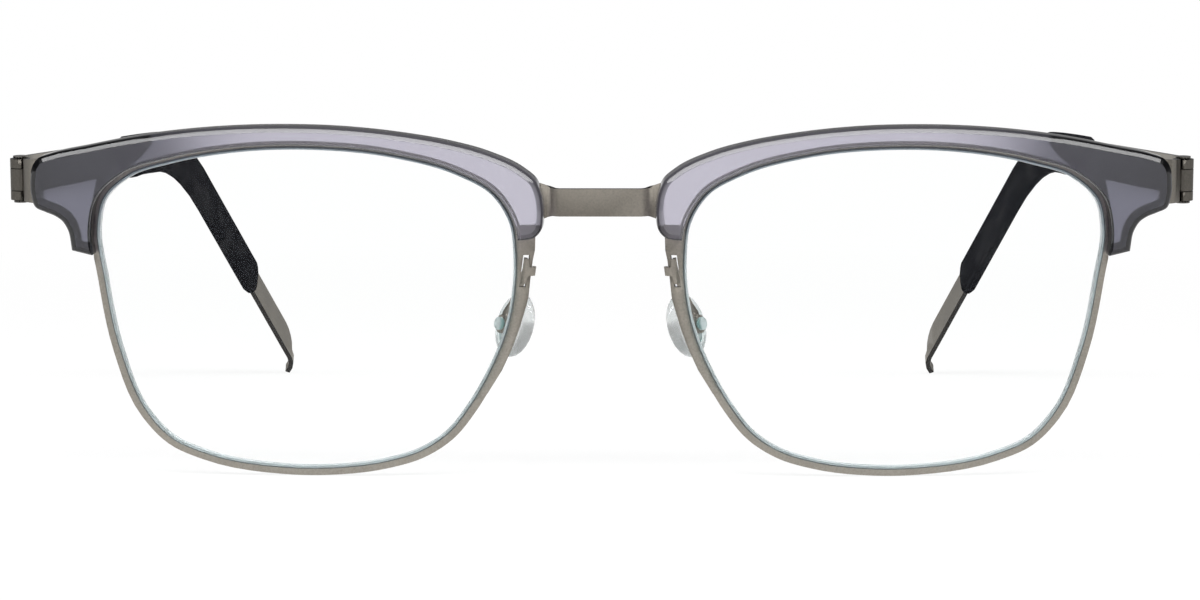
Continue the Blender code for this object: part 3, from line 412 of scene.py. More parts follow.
def end_shade_group():
    """Painted shade on the metal's rolled ends at the hinges, where the sheet bends away from the light, and
    a more matt bridge.
    """
    found = bpy.data.node_groups.get("Painted rolled-end shade and matt bridge")
    if found:
        return found
    group, start, end = new_group(
        "Painted rolled-end shade and matt bridge",
        [("Color", "NodeSocketColor", (0.5, 0.5, 0.5, 1.0)), ("Rolled Shade", "NodeSocketFloat", 0.5),
         ("Roughness", "NodeSocketFloat", 0.4), ("Bridge Roughness", "NodeSocketFloat", 0.2)],
        [("Color", "NodeSocketColor"), ("Roughness", "NodeSocketFloat")])
    place = add(group, "ShaderNodeTexCoord")
    split = add(group, "ShaderNodeSeparateXYZ", Vector=place.outputs["Object"])
    away = math_node(group, "ABSOLUTE", split.outputs["X"], 0.0)
    outward = remapped(group, away, interpolation_type="SMOOTHSTEP",
                       From_Min=ROLLED_START, From_Max=ROLLED_END)
    ahead = remapped(group, split.outputs["Y"], From_Min=PAINTED_END_SHADE_BACK, From_Max=KNUCKLE_BACK)
    # Painted shade: the colour is darkened on the rolled ends, where the sheet bends away from the light
    shade = remapped(group, math_node(group, "MULTIPLY", outward, ahead),
                     To_Min=1.0, To_Max=start.outputs["Rolled Shade"])
    matt = remapped(group, away, From_Min=BRIDGE_MATT_START, From_Max=BRIDGE_MATT_END,
                    To_Min=start.outputs["Bridge Roughness"], To_Max=0.0)
    wire(group, end, Color=scaled(group, start.outputs["Color"], shade),
         Roughness=math_node(group, "ADD", start.outputs["Roughness"], matt))
    return group


def handling_group():
    """Faint wipe marks and dust from handling: a roughness that varies and a mask of specks."""
    found = bpy.data.node_groups.get("Handling marks")
    if found:
        return found
    group, start, end = new_group(
        "Handling marks",
        [("Roughness", "NodeSocketFloat", 0.1), ("Smear", "NodeSocketFloat", 0.05),
         ("Smear Scale", "NodeSocketFloat", 180.0), ("Speck Scale", "NodeSocketFloat", 1500.0)],
        [("Roughness", "NodeSocketFloat"), ("Specks", "NodeSocketFloat")])
    place = add(group, "ShaderNodeTexCoord").outputs["Object"]
    smear = add(group, "ShaderNodeTexNoise", Vector=place, Scale=start.outputs["Smear Scale"],
                Detail=4.0, Distortion=1.2)
    speck = add(group, "ShaderNodeTexVoronoi", Vector=place, Scale=start.outputs["Speck Scale"],
                Randomness=1.0)
    band = remapped(group, smear.outputs["Fac"], From_Min=0.45, From_Max=0.8)
    smeared = math_node(group, "MULTIPLY", band, start.outputs["Smear"])
    wire(group, end, Roughness=math_node(group, "ADD", start.outputs["Roughness"], smeared),
         Specks=remapped(group, speck.outputs["Distance"], From_Min=0.09, From_Max=0.03))
    return group


def sideways_group():
    """How far out from the middle plane a point lies: 0 up to From and 1 beyond To."""
    found = bpy.data.node_groups.get("Sideways share")
    if found:
        return found
    group, start, end = new_group(
        "Sideways share",
        [("From", "NodeSocketFloat", 0.0), ("To", "NodeSocketFloat", 10.0 * MM)],
        [("Share", "NodeSocketFloat")])
    place = add(group, "ShaderNodeTexCoord")
    split = add(group, "ShaderNodeSeparateXYZ", Vector=place.outputs["Object"])
    away = math_node(group, "ABSOLUTE", split.outputs["X"], 0.0)
    share = remapped(group, away, interpolation_type="SMOOTHSTEP",
                     From_Min=start.outputs["From"], From_Max=start.outputs["To"])
    wire(group, end, Share=share)
    return group


# Finishes
def new_finish(name):
    """A material with its tree and Principled shader, or None for both if it was made before."""
    found = bpy.data.materials.get(name)
    if found:
        return found, None, None
    finish = bpy.data.materials.new(name)
    finish.use_nodes = True
    return finish, finish.node_tree, finish.node_tree.nodes["Principled BSDF"]


def let_lamps_through(tree, shader, tint, further=None):
    """A clear piece casts no dark shadow: shadow rays pass with a tint, and so does a further share."""
    path = add(tree, "ShaderNodeLightPath")
    passing = path.outputs["Is Shadow Ray"]
    if further is not None:
        passing = math_node(tree, "MAXIMUM", passing, further)
    clear = add(tree, "ShaderNodeBsdfTransparent", Color=(*tint, 1.0))
    either = add(tree, "ShaderNodeMixShader", Fac=passing)
    link(tree, shader.outputs["BSDF"], either.inputs[1])
    link(tree, clear.outputs["BSDF"], either.inputs[2])
    wire(tree, tree.nodes["Material Output"], Surface=either.outputs["Shader"])


def grained_metal(name, colour, roughness, **grain_values):
    """A metal with the blasted grain, painted shade on the rolled ends and a more matt bridge."""
    finish, tree, shader = new_finish(name)
    if shader:
        metal = settings("metal")
        grain = use_group(tree, grain_group(), Color=(*colour, 1.0), Roughness=roughness,
                          Grain_Scale=1.0 / metal.grain, **grain_values)
        shaded_ends = use_group(tree, end_shade_group(), Color=grain.outputs["Color"],
                           Roughness=grain.outputs["Roughness"], Rolled_Shade=metal.painted_end_shade,
                           Bridge_Roughness=metal.bridge_roughness)
        wire(tree, shader, Base_Color=shaded_ends.outputs["Color"], Roughness=shaded_ends.outputs["Roughness"],
             Normal=grain.outputs["Normal"], Metallic=1.0)
    return finish


def blasted_titanium():
    metal = settings("metal")
    return grained_metal("Blasted titanium", metal.colour, metal.roughness,
                         Speckle=0.75, Unevenness=0.30, Depth=0.45)


def shaded_cut_titanium():
    """The sheet's cut edges, smoother than its blasted faces and coloured near black as painted shade."""
    metal = settings("metal")
    return grained_metal("Cut titanium in painted shade", metal.cut_edge_shade, metal.cut_roughness,
                         Speckle=0.30, Unevenness=0.12, Depth=0.15)


def pin_steel():
    metal = settings("metal")
    return grained_metal("Turned steel", metal.pin_colour, metal.pin_roughness,
                         Speckle=0.12, Unevenness=0.10, Depth=0.12)


def polished_acetate():
    """Lilac-grey acetate, tinted through its depth, with painted shade on its walls and towards the temples'
    end, a matt back and faint wipe marks.
    """
    finish, tree, shader = new_finish("Polished acetate")
    if shader:
        look = settings("acetate")
        marks = use_group(tree, handling_group(), Roughness=look.roughness, Smear=0.05)
        # Painted shade: the brow darkens towards the temples' end, where less of the bright room shows
        # through
        outward = use_group(tree, sideways_group(), From=OUTER_PAINTED_SHADE_START, To=OUTER_PAINTED_SHADE_END)
        shaded = blended(tree, outward.outputs["Share"], look.surface, look.painted_outer_shade)
        place = add(tree, "ShaderNodeTexCoord")
        facing = add(tree, "ShaderNodeVectorMath", operation="DOT_PRODUCT")
        facing.inputs[1].default_value = FRONT.to_3x3() @ Vector((0.0, 1.0, 0.0))
        link(tree, place.outputs["Normal"], facing.inputs[0])
        squareness = math_node(tree, "ABSOLUTE", facing.outputs["Value"], 0.0)
        # Painted shade: faces turned away from the front, the walls and steep edge, are darkened
        wall = remapped(tree, squareness, From_Min=WALL_COSINE, From_Max=FACE_COSINE,
                        To_Min=look.painted_wall_shade, To_Max=1.0)
        # A ray that leaves from inside meets the normal turned round, so it is turned back
        hit = add(tree, "ShaderNodeNewGeometry")
        outside = math_node(tree, "SUBTRACT", 1.0, hit.outputs["Backfacing"])
        turn = math_node(tree, "SUBTRACT", math_node(tree, "MULTIPLY", outside, 2.0), 1.0)
        backward = math_node(tree, "MULTIPLY", facing.outputs["Value"], turn)
        matt = remapped(tree, backward, From_Min=MATT_START_COSINE, From_Max=MATT_END_COSINE,
                        To_Max=look.back_roughness)
        wire(tree, shader, Base_Color=scaled(tree, shaded, wall), Transmission_Weight=look.body,
             Roughness=math_node(tree, "ADD", marks.outputs["Roughness"], matt), IOR=ACETATE_IOR)
        path = add(tree, "ShaderNodeLightPath")
        glossy = math_node(tree, "MULTIPLY", path.outputs["Is Glossy Ray"], look.unmirrored)
        let_lamps_through(tree, shader, look.surface, math_node(tree, "MULTIPLY", glossy, outside))
        tint = add(tree, "ShaderNodeVolumeAbsorption", Color=(*look.kept, 1.0), Density=look.density)
        wire(tree, tree.nodes["Material Output"], Volume=tint.outputs["Volume"])
    return finish


def clear_lens():
    """Coated acrylic, which reflects little, with a hint of wipe marks."""
    finish, tree, shader = new_finish("Clear lens")
    if shader:
        look = settings("lens")
        marks = use_group(tree, handling_group(), Roughness=0.0, Smear=0.012, Smear_Scale=90.0)
        wire(tree, shader, Base_Color=(*look.colour, 1.0), Roughness=marks.outputs["Roughness"],
             Specular_Tint=(*look.reflection, 1.0), Transmission_Weight=1.0, IOR=ACRYLIC_IOR)
        let_lamps_through(tree, shader, look.shadow)
    return finish


def ground_acrylic(name, colour):
    """A ground part of the lens's edge, softly lit from inside; on the front bevel its dark colour is
    painted shade.
    """
    finish, tree, shader = new_finish(name)
    if shader:
        look = settings("lens")
        grain = use_group(tree, grain_group(), Color=(*colour, 1.0), Speckle=0.10, Unevenness=0.10,
                          Roughness=look.edge_roughness, Grain_Scale=4000.0, Depth=0.05)
        wire(tree, shader, Base_Color=grain.outputs["Color"], Roughness=grain.outputs["Roughness"],
             Normal=grain.outputs["Normal"], Transmission_Weight=look.edge_body, IOR=ACRYLIC_IOR)
        let_lamps_through(tree, shader, colour)
    return finish


def clear_silicone():
    """Clear pads with skin smears, a little greener towards the lenses."""
    finish, tree, shader = new_finish("Clear silicone")
    if shader:
        look = settings("silicone")
        marks = use_group(tree, handling_group(), Roughness=look.pad_roughness, Smear=0.10,
                          Smear_Scale=700.0)
        deep = use_group(tree, sideways_group(), From=PAD_BACK_START, To=PAD_BACK_END)
        tinted = blended(tree, deep.outputs["Share"], look.pad_colour, look.pad_back_colour)
        wire(tree, shader, Base_Color=tinted, Roughness=marks.outputs["Roughness"],
             Transmission_Weight=look.pad_body, IOR=SILICONE_IOR)
        let_lamps_through(tree, shader, look.pad_colour)
    return finish


def core_plastic():
    """Half-clear plastic, darker round the core's thick rim."""
    finish, tree, shader = new_finish("Core plastic")
    if shader:
        look = settings("silicone")
        place = add(tree, "ShaderNodeTexCoord")
        centred = add(tree, "ShaderNodeVectorMath", operation="MULTIPLY_ADD")
        centred.inputs[1].default_value = (0.0, 1.0, 1.0)
        centred.inputs[2].default_value = (0.0, -0.5, -0.5)
        away = add(tree, "ShaderNodeVectorMath", operation="LENGTH")
        link(tree, place.outputs["Generated"], centred.inputs[0])
        link(tree, centred.outputs[0], away.inputs[0])
        rim = remapped(tree, away.outputs["Value"], interpolation_type="SMOOTHSTEP",
                       From_Min=CORE_RIM_START, From_Max=CORE_RIM_END)
        grain = use_group(tree, grain_group(), Color=blended(tree, rim, look.core_colour, look.rim_colour),
                          Speckle=0.10, Roughness=look.core_roughness, Unevenness=0.08,
                          Grain_Scale=2500.0, Depth=0.08)
        wire(tree, shader, Base_Color=grain.outputs["Color"], Roughness=grain.outputs["Roughness"],
             Normal=grain.outputs["Normal"], Transmission_Weight=look.core_body, IOR=CORE_IOR)
        let_lamps_through(tree, shader, look.core_colour)
    return finish


def sleeve_silicone():
    """Satin black silicone with a little lint."""
    finish, tree, shader = new_finish("Sleeve silicone")
    if shader:
        look = settings("silicone")
        marks = use_group(tree, handling_group(), Roughness=look.sleeve_roughness, Smear=0.12,
                          Smear_Scale=240.0, Speck_Scale=900.0)
        rubbed = math_node(tree, "SUBTRACT", marks.outputs["Roughness"], look.sleeve_roughness)
        worn = math_node(tree, "MULTIPLY", rubbed, RUBBED_STRENGTH)
        lint = math_node(tree, "MULTIPLY", marks.outputs["Specks"], LINT_STRENGTH)
        both = math_node(tree, "ADD", worn, lint)
        wire(tree, shader, Base_Color=blended(tree, both, look.sleeve_colour, look.lint_colour),
             Roughness=marks.outputs["Roughness"], Specular_IOR_Level=0.0)
    return finish


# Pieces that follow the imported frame's parts
def make_piece(name, node, mesh, finishes):
    """A finished piece that rides with its part's body and stands for the part."""
    piece = bpy.data.objects.new(name, mesh)
    bpy.context.scene.collection.objects.link(piece)
    for finish in finishes:
        mesh.materials.append(finish)
    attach(piece, BODY_OF[node])
    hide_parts(node)
    return piece


def welded_copy(name, node, smooth_angle, is_cut):
    """The part's surface with its triangles welded, its round faces smooth and its cut edges marked."""
    bm = bmesh.new()
    bm.from_mesh(frame["nodes"][node].data)
    bmesh.ops.remove_doubles(bm, verts=bm.verts, dist=WELD)
    bm.normal_update()
    for face in bm.faces:
        face.material_index = int(is_cut(face))
    mesh = bpy.data.meshes.new(name)
    bm.to_mesh(mesh)
    bm.free()
    mesh.shade_smooth()
    mesh.set_sharp_from_angle(angle=smooth_angle)
    return mesh


def never_cut(face):
    return False


def cut_in_front(face):
    """Whether a face of the front is one of the sheet's cut edges."""
    leaning = FRONT.to_3x3().inverted() @ face.normal
    if abs(face.calc_center_median().x) < LUG_START:
        return abs(leaning.y) < CUT_EDGE_COSINE
    return abs(leaning.z) > LUG_CUT_EDGE_COSINE


def cut_in_temple(face):
    """Whether a face of a temple is one of the strip's cut edges, behind the rolled knuckle."""
    return abs(face.normal.x) < CUT_EDGE_COSINE and face.calc_center_median().y > KNUCKLE_BACK


def follow_part(name, node, finishes, smooth_angle=SMOOTH_ANGLE, is_cut=never_cut):
    return make_piece(name, node, welded_copy(name, node, smooth_angle, is_cut), finishes)


# Curves and surfaces of the lenses and brows
EYE_CENTRE = (BRIDGE_WIDTH + LENS_WIDTH) / 2
BRIDGE = next(mount for mount in frame["record"]["mounts"] if mount["name"] == "bridge_front")
TURN = Matrix.Rotation(math.atan2(-BRIDGE["axis"][2], -BRIDGE["axis"][1]), 4, "X")
ORIGIN = Vector(BRIDGE["pos_m"]) - TURN @ Vector((0, BRIDGE_FACE_DEPTH, BRIDGE_LEVEL))
FRONT = Matrix.Translation(ORIGIN) @ TURN


def from_shares(shares):
    return [Vector((across * LENS_WIDTH / 2, up * LENS_HEIGHT / 2)) for across, up in shares]


def spline(knots, closed=False):
    """Smooth curve through the knots, with the same number of points on each stretch."""
    count = len(knots)
    points = []
    for index in range(count if closed else count - 1):
        near = [knots[(index + k) % count] if closed else knots[min(max(index + k, 0), count - 1)]
                for k in (-1, 0, 1, 2)]
        chords = [max((b - a).length, WELD) for a, b in zip(near, near[1:])]
        slopes = [(b - a) / chord for a, b, chord in zip(near, near[1:], chords)]
        if not closed and index == 0:
            slopes[0] = slopes[1]
        if not closed and index == count - 2:
            slopes[2] = slopes[1]
        start = (slopes[0] * chords[1] + slopes[1] * chords[0]) / (chords[0] + chords[1]) * chords[1]
        end = (slopes[1] * chords[2] + slopes[2] * chords[1]) / (chords[1] + chords[2]) * chords[1]
        for step in range(OUTLINE_STEPS):
            t = step / OUTLINE_STEPS
            points.append(near[1] * (2 * t**3 - 3 * t**2 + 1) + start * (t**3 - 2 * t**2 + t)
                          + near[2] * (3 * t**2 - 2 * t**3) + end * (t**3 - t**2))
    if not closed:
        points.append(knots[-1])
    return points


def grown(loop, amounts):
    """The counter-clockwise loop with each edge moved outwards by its own amount."""
    count = len(loop)
    if not isinstance(amounts, (list, tuple)):
        amounts = [amounts] * count
    normals = []
    for index, point in enumerate(loop):
        along = (loop[(index + 1) % count] - point).normalized()
        normals.append(Vector((along.y, -along.x)))
    moved = []
    for index, point in enumerate(loop):
        before, after = normals[index - 1], normals[index]
        a, b = amounts[index - 1], amounts[index]
        cross = before.x * after.y - before.y * after.x
        if abs(cross) > MITRE_SINE:
            moved.append(point + Vector((a * after.y - b * before.y, b * before.x - a * after.x)) / cross)
        else:
            moved.append(point + (before + after) * (a + b) / 2 / (1 + before.dot(after)))
    return moved


def inside(point, loop):
    """Whether a flat point lies inside a closed loop."""
    crossed = False
    for (ax, ay), (bx, by) in zip(loop, loop[1:] + loop[:1]):
        if (ay > point.y) != (by > point.y):
            if point.x < ax + (point.y - ay) / (by - ay) * (bx - ax):
                crossed = not crossed
    return crossed


def eye_depth(x, z):
    """How far behind the lens centres the sheet's middle lies, on the eye's sphere."""
    reach = abs(x) - EYE_CENTRE
    start = LUG_START - 2 * LUG_START_REACH
    t = min(max((abs(x) - start) / (LUG_START - LUG_LEVELLED_REACH - start), 0.0), 1.0)
    height = z + (LUG_LEVEL - z) * t * t * (3 - 2 * t)
    return (reach**2 + height**2) / (2 * LENS_SURFACE_RADIUS) + FACE_FORM_SLOPE * reach


def square_off_eye(x, z):
    """The direction straight backwards off the eye's sphere."""
    step = SLOPE_STEP
    lean_x = (eye_depth(x + step, z) - eye_depth(x - step, z)) / (2 * step)
    lean_z = (eye_depth(x, z + step) - eye_depth(x, z - step)) / (2 * step)
    return Vector((-lean_x, 1.0, -lean_z)).normalized()


def on_eye(flat, offset):
    """A point of the front's drawing on the eye's sphere, moved square off it."""
    return Vector((flat.x, eye_depth(flat.x, flat.y), flat.y)) + square_off_eye(flat.x, flat.y) * offset


def on_brow(flat, offset):
    """A point of the brow: seated on the sheet, with its side walls square to the whole eye."""
    along = Vector((-math.copysign(FACE_FORM_SLOPE, flat.x), 1.0, 0.0)).normalized()
    return on_eye(flat, BROW_BACK) + along * (offset - BROW_BACK)


def grid_spots(loop, spacing):
    """Points spread evenly inside a loop, clear of its edge."""
    core = grown(loop, -spacing / 2)
    across, up = [point.x for point in loop], [point.y for point in loop]
    spots = []
    for column in range(1, int((max(across) - min(across)) / spacing) + 1):
        for row in range(1, int((max(up) - min(up)) / spacing) + 1):
            spot = Vector((min(across) + (column + row % 2 / 2) * spacing, min(up) + row * spacing))
            if inside(spot, core):
                spots.append(spot)
    return spots


def stacked_mesh(name, side, layers, spacing, placed, wall_materials):
    """A closed solid from loops stacked through its depth and filled at both ends.

    The filled ends have the first material and the exact normals of the eye's sphere, so that
    glass shows no facets."""
    bm = bmesh.new()

    def place(point, depth):
        return FRONT @ placed(Vector((side * (EYE_CENTRE + point.x), point.y)), depth)

    rings = [[bm.verts.new(place(point, depth)) for point in loop] for loop, depth in layers]
    for low, high, material in zip(rings, rings[1:], wall_materials):
        for k in range(len(low)):
            near = (k + 1) % len(low)
            bm.faces.new((low[k], low[near], high[near], high[k])).material_index = material
    for (loop, depth), ring in ((layers[0], rings[0]), (layers[-1], rings[-1])):
        points = list(loop) + grid_spots(loop, spacing)
        edges = [(k, (k + 1) % len(loop)) for k in range(len(loop))]
        flat, _, faces, source, _, _ = geometry.delaunay_2d_cdt(points, edges, [], 0, FILL_TOLERANCE)
        verts = [ring[first[0]] if first and first[0] < len(ring) else bm.verts.new(place(flat[k], depth))
                 for k, first in enumerate(source)]
        for face in faces:
            middle = sum((flat[k] for k in face), Vector((0, 0))) / len(face)
            if inside(middle, loop):
                bm.faces.new([verts[k] for k in face])
    loose = [vert for vert in bm.verts if not vert.link_faces]
    bmesh.ops.delete(bm, geom=loose, context="VERTS")
    bmesh.ops.remove_doubles(bm, verts=bm.verts, dist=WELD)
    bmesh.ops.recalc_face_normals(bm, faces=bm.faces)
    mesh = bpy.data.meshes.new(name)
    bm.to_mesh(mesh)
    bm.free()
    mesh.shade_smooth()
    mesh.set_sharp_from_angle(angle=DRAWN_SMOOTH_ANGLE)
    set_exact_normals(mesh)
    return mesh


def set_exact_normals(mesh):
    """Gives the faces that lie along the eye's sphere the sphere's own normals."""
    into = FRONT.inverted()
    normals = [Vector((0, 0, 0))] * len(mesh.loops)
    for face in mesh.polygons:
        middle = into @ face.center
        square = FRONT.to_3x3() @ square_off_eye(middle.x, middle.z)
        if abs(face.normal.dot(square)) < CAP_COSINE:
            continue
        for k in face.loop_indices:
            corner = into @ mesh.vertices[mesh.loops[k].vertex_index].co
            exact = FRONT.to_3x3() @ square_off_eye(corner.x, corner.z)
            normals[k] = exact if face.normal.dot(square) > 0 else -exact
    mesh.normals_split_custom_set(normals)


def lens_mesh(name, side):
    """The lens: two polished faces, ground bevels and the groove for the rim.

    Its materials are the clear lens, the ground edge and the front bevel, whose dark colour is painted
    shade."""
    look = settings("lens")
    edge = spline(from_shares(LENS_OUTLINE_SHARES), closed=True)
    floor = grown(edge, -LENS_GROOVE_DEPTH)
    front, back = grown(edge, -look.front_bevel), grown(edge, -look.back_bevel)
    face = LENS_THICKNESS / 2
    shoulder = face - look.bevel_depth
    layers = [(front, -face), (edge, -shoulder), (edge, -LENS_GROOVE_HALF), (floor, -LENS_GROOVE_HALF),
              (floor, LENS_GROOVE_HALF), (edge, LENS_GROOVE_HALF), (edge, shoulder), (back, face)]
    return stacked_mesh(name, side, layers, look.spacing, on_eye, (2, 1, 1, 1, 1, 1, 1))


def brow_outline():
    """The brow's closed outline, and for each of its edges whether it faces the lens.

    Points close beside the foot's two corners and the nose's corner at the lens are left out,
    because the bevel would fold over such short edges."""
    seat = grown(spline(from_shares(LENS_OUTLINE_SHARES), closed=True), BROW_REVEAL)
    lens_side = []
    for index, point in enumerate(seat):
        before = seat[index - 1]
        floor = BROW_FOOT_END if point.x > 0 else BROW_NOSE_END
        if (point.y > floor) != (before.y > floor):
            lens_side.append(before.lerp(point, (floor - before.y) / (point.y - before.y)))
        elif point.y > floor + BROW_CORNER_STRETCH:
            lens_side.append(point)
    foot = max(range(len(lens_side)), key=lambda k: lens_side[k].x - lens_side[k].y)
    lens_side = (lens_side[foot:] + lens_side[:foot])[::-1]
    edge = spline(from_shares(BROW_EDGE_SHARES))
    edge = [point for point in edge if not 0 < (point - edge[0]).length < BROW_CORNER_STRETCH]
    return edge + lens_side, [False] * len(edge) + [True] * (len(lens_side) - 1) + [False]


def brow_mesh(name, side):
    """The brow: a back seated on the sheet, plain side walls, and a steep edge and bevel in front."""
    look = settings("acetate")
    loop, faces_lens = brow_outline()
    front = BROW_BACK - BROW_THICKNESS
    layers = [(loop, BROW_BACK)]
    for inward, deep in BEVEL_SECTION_SHARES:
        inset = [-inward * (look.lens_bevel_width if lens else look.bevel_width) for lens in faces_lens]
        layers.append((grown(loop, inset), front + look.bevel_depth * deep))
    return stacked_mesh(name, side, layers, BROW_MESH_SPACING, on_brow, (0,) * (len(layers) - 1))


# Operators
class EYEFRAME_OT_front(Operator):
    """Finish the titanium front"""

    bl_idname = "eyeframe.front"
    bl_label = "Titanium Front"

    def execute(self, context):
        follow_part("titanium_front", "front_chassis", [blasted_titanium(), shaded_cut_titanium()],
                    FRONT_SMOOTH_ANGLE, cut_in_front)
        return {"FINISHED"}


class EYEFRAME_OT_lenses(Operator):
    """Make the two clear lenses with their ground edges"""

    bl_idname = "eyeframe.lenses"
    bl_label = "Lenses"

    def execute(self, context):
        look = settings("lens")
        finishes = [clear_lens(), ground_acrylic("Ground lens edge", look.edge_colour),
                    # The front bevel's dark colour is painted shade from the rim
                    ground_acrylic("Shaded lens bevel", look.bevel_shade_colour)]
        for word, side in SIDES.items():
            name = "clear_lens_" + word
            make_piece(name, "lens_" + word, lens_mesh(name, side), finishes)
        return {"FINISHED"}


class EYEFRAME_OT_brows(Operator):
    """Make the two acetate brows"""

    bl_idname = "eyeframe.brows"
    bl_label = "Brows"

    def execute(self, context):
        for word, side in SIDES.items():
            name = "acetate_brow_" + word
            make_piece(name, "brow_" + word, brow_mesh(name, side), [polished_acetate()])
        return {"FINISHED"}


class EYEFRAME_OT_pads(Operator):
    """Finish the nose pads, their cores and their arms"""

    bl_idname = "eyeframe.pads"
    bl_label = "Nose Pads"

    def execute(self, context):
        for word in SIDES:
            follow_part("hooked_pad_arm_" + word, "pad_arm_" + word, [blasted_titanium()])
            pad = follow_part("silicone_pad_" + word, "nose_pad_" + word, [clear_silicone()])
            follow_part("moulded_core_" + word, "pad_core_" + word, [core_plastic()])
        return {"FINISHED"}


class EYEFRAME_OT_hinges(Operator):
    """Finish the hinge pins"""

    bl_idname = "eyeframe.hinges"
    bl_label = "Hinge Pins"

    def execute(self, context):
        for word in SIDES:
            follow_part("steel_pin_" + word, "hinge_pin_" + word, [pin_steel()])
        return {"FINISHED"}


class EYEFRAME_OT_temples(Operator):
    """Finish the temples and their sleeves"""

    bl_idname = "eyeframe.temples"
    bl_label = "Temples"

    def execute(self, context):
        for word in SIDES:
            follow_part("titanium_temple_" + word, "temple_" + word,
                        [blasted_titanium(), shaded_cut_titanium()], is_cut=cut_in_temple)
            follow_part("silicone_sleeve_" + word, "temple_sleeve_" + word,
                        [sleeve_silicone()], SLEEVE_SMOOTH_ANGLE)
        return {"FINISHED"}


# Studio
def aimed(place, target):
    return Matrix.Translation(place) @ (target - place).to_track_quat("-Z", "Y").to_matrix().to_4x4()


def add_lamp(name, place, target, width, height, power):
    lamp = bpy.data.lights.new(name, "AREA")
    lamp.shape = "RECTANGLE"
    lamp.size, lamp.size_y = width, height
    lamp.energy = power
    holder = bpy.data.objects.new(name, lamp)
    bpy.context.scene.collection.objects.link(holder)
    holder.matrix_world = aimed(place, target)


def add_camera(look):
    """The camera that looks down on the lenses from a little to one side."""
    camera = bpy.data.cameras.new("photo_camera")
    camera.lens = look.focal
    camera.clip_start, camera.clip_end = NEAREST_SEEN, FARTHEST_SEEN
    holder = bpy.data.objects.new("photo_camera", camera)
    bpy.context.scene.collection.objects.link(holder)
    target = FRONT @ Vector((0.0, 0.0, look.aim))
    back = Vector((0.0, -math.cos(look.tilt), math.sin(look.tilt))) * look.distance
    holder.matrix_world = aimed(target + back + Vector((look.sidestep, 0.0, 0.0)), target)
    bpy.context.scene.camera = holder


def seen_directly(tree):
    """1 for what the camera sees, straight or in metal and glass."""
    path = add(tree, "ShaderNodeLightPath")
    seen = math_node(tree, "MAXIMUM", path.outputs["Is Camera Ray"], path.outputs["Is Glossy Ray"])
    return math_node(tree, "MAXIMUM", seen, path.outputs["Is Transmission Ray"])


def floor_finish(colour, white_share):
    """A matt floor that is seen as white, but near the glasses only so far that it keeps their shadow."""
    finish = bpy.data.materials.new("Pale floor")
    finish.use_nodes = True
    tree = finish.node_tree
    tree.nodes.remove(tree.nodes["Principled BSDF"])
    matt = add(tree, "ShaderNodeBsdfDiffuse", Color=(*colour, 1.0))
    white = add(tree, "ShaderNodeEmission", Color=(1.0, 1.0, 1.0, 1.0), Strength=1.0)
    either = add(tree, "ShaderNodeMixShader")
    place = add(tree, "ShaderNodeNewGeometry")
    away = add(tree, "ShaderNodeVectorMath", operation="LENGTH")
    link(tree, place.outputs["Position"], away.inputs[0])
    share = remapped(tree, away.outputs["Value"], From_Min=FLOOR_WHITE_START, From_Max=FLOOR_WHITE_END,
                     To_Min=white_share, To_Max=1.0)
    link(tree, math_node(tree, "MULTIPLY", seen_directly(tree), share), either.inputs["Fac"])
    link(tree, matt.outputs["BSDF"], either.inputs[1])
    link(tree, white.outputs["Emission"], either.inputs[2])
    link(tree, either.outputs["Shader"], tree.nodes["Material Output"].inputs["Surface"])
    return finish


def light_the_room(ambient, ceiling, sides):
    """A pale room: white where it is seen, dimmer above and beside in metal and glass."""
    world = bpy.data.worlds.new("Pale room")
    world.use_nodes = True
    tree = world.node_tree
    place = add(tree, "ShaderNodeTexCoord")
    split = add(tree, "ShaderNodeSeparateXYZ", Vector=place.outputs["Generated"])
    height = remapped(tree, split.outputs["Z"], interpolation_type="SMOOTHSTEP",
                      From_Min=CEILING_START_SHARE, From_Max=CEILING_END_SHARE, To_Min=1.0, To_Max=ceiling)
    aside = math_node(tree, "ABSOLUTE", split.outputs["X"], 0.0)
    beside = remapped(tree, aside, interpolation_type="SMOOTHSTEP",
                      From_Min=SIDES_START_SHARE, From_Max=SIDES_END_SHARE, To_Min=1.0, To_Max=sides)
    around = math_node(tree, "MULTIPLY", height, beside)
    path = add(tree, "ShaderNodeLightPath")
    in_glass = math_node(tree, "MAXIMUM", path.outputs["Is Glossy Ray"], path.outputs["Is Transmission Ray"])
    indirect = remapped(tree, in_glass, To_Min=ambient, To_Max=around)
    strength = remapped(tree, path.outputs["Is Camera Ray"], To_Min=indirect, To_Max=1.0)
    wire(tree, tree.nodes["Background"], Color=(1.0, 1.0, 1.0, 1.0), Strength=strength)
    bpy.context.scene.world = world


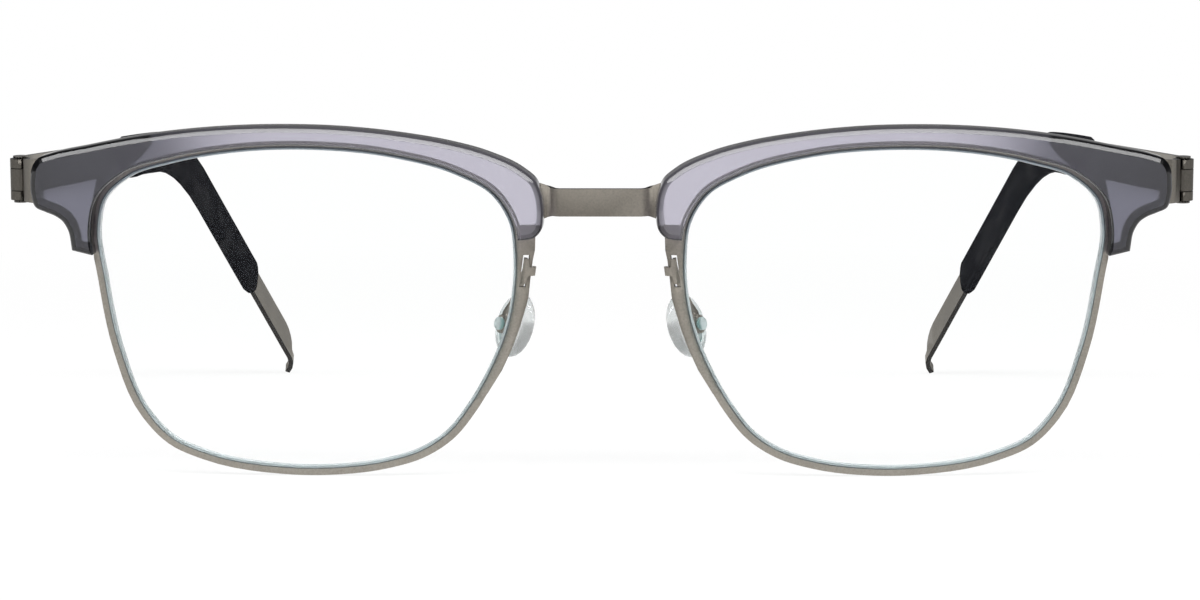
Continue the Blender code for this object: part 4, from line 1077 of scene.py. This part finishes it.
class EYEFRAME_OT_studio(Operator):
    """Set up the floor, the light and the camera"""

    bl_idname = "eyeframe.studio"
    bl_label = "Studio"

    def execute(self, context):
        look = settings("studio")
        bpy.ops.mesh.primitive_grid_add(x_subdivisions=FLOOR_CUTS, y_subdivisions=FLOOR_CUTS,
                                        size=FLOOR_SIZE, location=(0.0, 0.0, -FLOOR_DROP))
        floor = context.active_object
        floor.name = "studio_floor"
        floor.data.materials.append(floor_finish(look.floor_colour, look.floor_white))
        light_the_room(look.ambient, look.ceiling, look.sides)
        middle = (CAD_LOW + CAD_HIGH) / 2
        add_lamp("key_lamp", KEY_LAMP_PLACE, middle, KEY_LAMP_WIDTH, KEY_LAMP_HEIGHT, look.key)
        for word, side in SIDES.items():
            place = Vector((side * SIDE_LAMP_PLACE.x, SIDE_LAMP_PLACE.y, SIDE_LAMP_PLACE.z))
            add_lamp(word + "_lamp", place, middle, SIDE_LAMP_SIZE, SIDE_LAMP_SIZE, look.side)
        add_camera(look)
        context.scene.view_settings.view_transform = "Standard"
        return {"FINISHED"}


class EYEFRAME_PT_panel(Panel):
    """Lists the pieces and their settings"""

    bl_label = "Eyeglasses"
    bl_idname = "EYEFRAME_PT_panel"
    bl_space_type = "VIEW_3D"
    bl_region_type = "UI"
    bl_category = "Eyeglasses"

    def draw(self, context):
        for operator in OPERATORS:
            self.layout.operator(operator.bl_idname)
        for name, group in SETTINGS.items():
            box = self.layout.box()
            box.label(text=name.title())
            for key in group.__annotations__:
                box.prop(settings(name), key)


OPERATORS = (EYEFRAME_OT_front, EYEFRAME_OT_lenses, EYEFRAME_OT_brows, EYEFRAME_OT_pads,
             EYEFRAME_OT_hinges, EYEFRAME_OT_temples, EYEFRAME_OT_studio)
CLASSES = (*SETTINGS.values(), *OPERATORS, EYEFRAME_PT_panel)


def register():
    for item in CLASSES:
        bpy.utils.register_class(item)
    for name, group in SETTINGS.items():
        setattr(bpy.types.Scene, "eyeframe_" + name, PointerProperty(type=group))


def unregister():
    for name in SETTINGS:
        delattr(bpy.types.Scene, "eyeframe_" + name)
    for item in reversed(CLASSES):
        bpy.utils.unregister_class(item)


def clear_start_objects():
    """Remove what a new file starts with, so that only the glasses and the studio are left."""
    kept = set(frame["nodes"].values()) | set(frame["bodies"].values())
    for item in list(bpy.data.objects):
        if item not in kept:
            bpy.data.objects.remove(item, do_unlink=True)


def main():
    register()
    clear_start_objects()
    for operator in OPERATORS:
        group, name = operator.bl_idname.split(".")
        getattr(getattr(bpy.ops, group), name)()


if __name__ == "__main__":
    main()
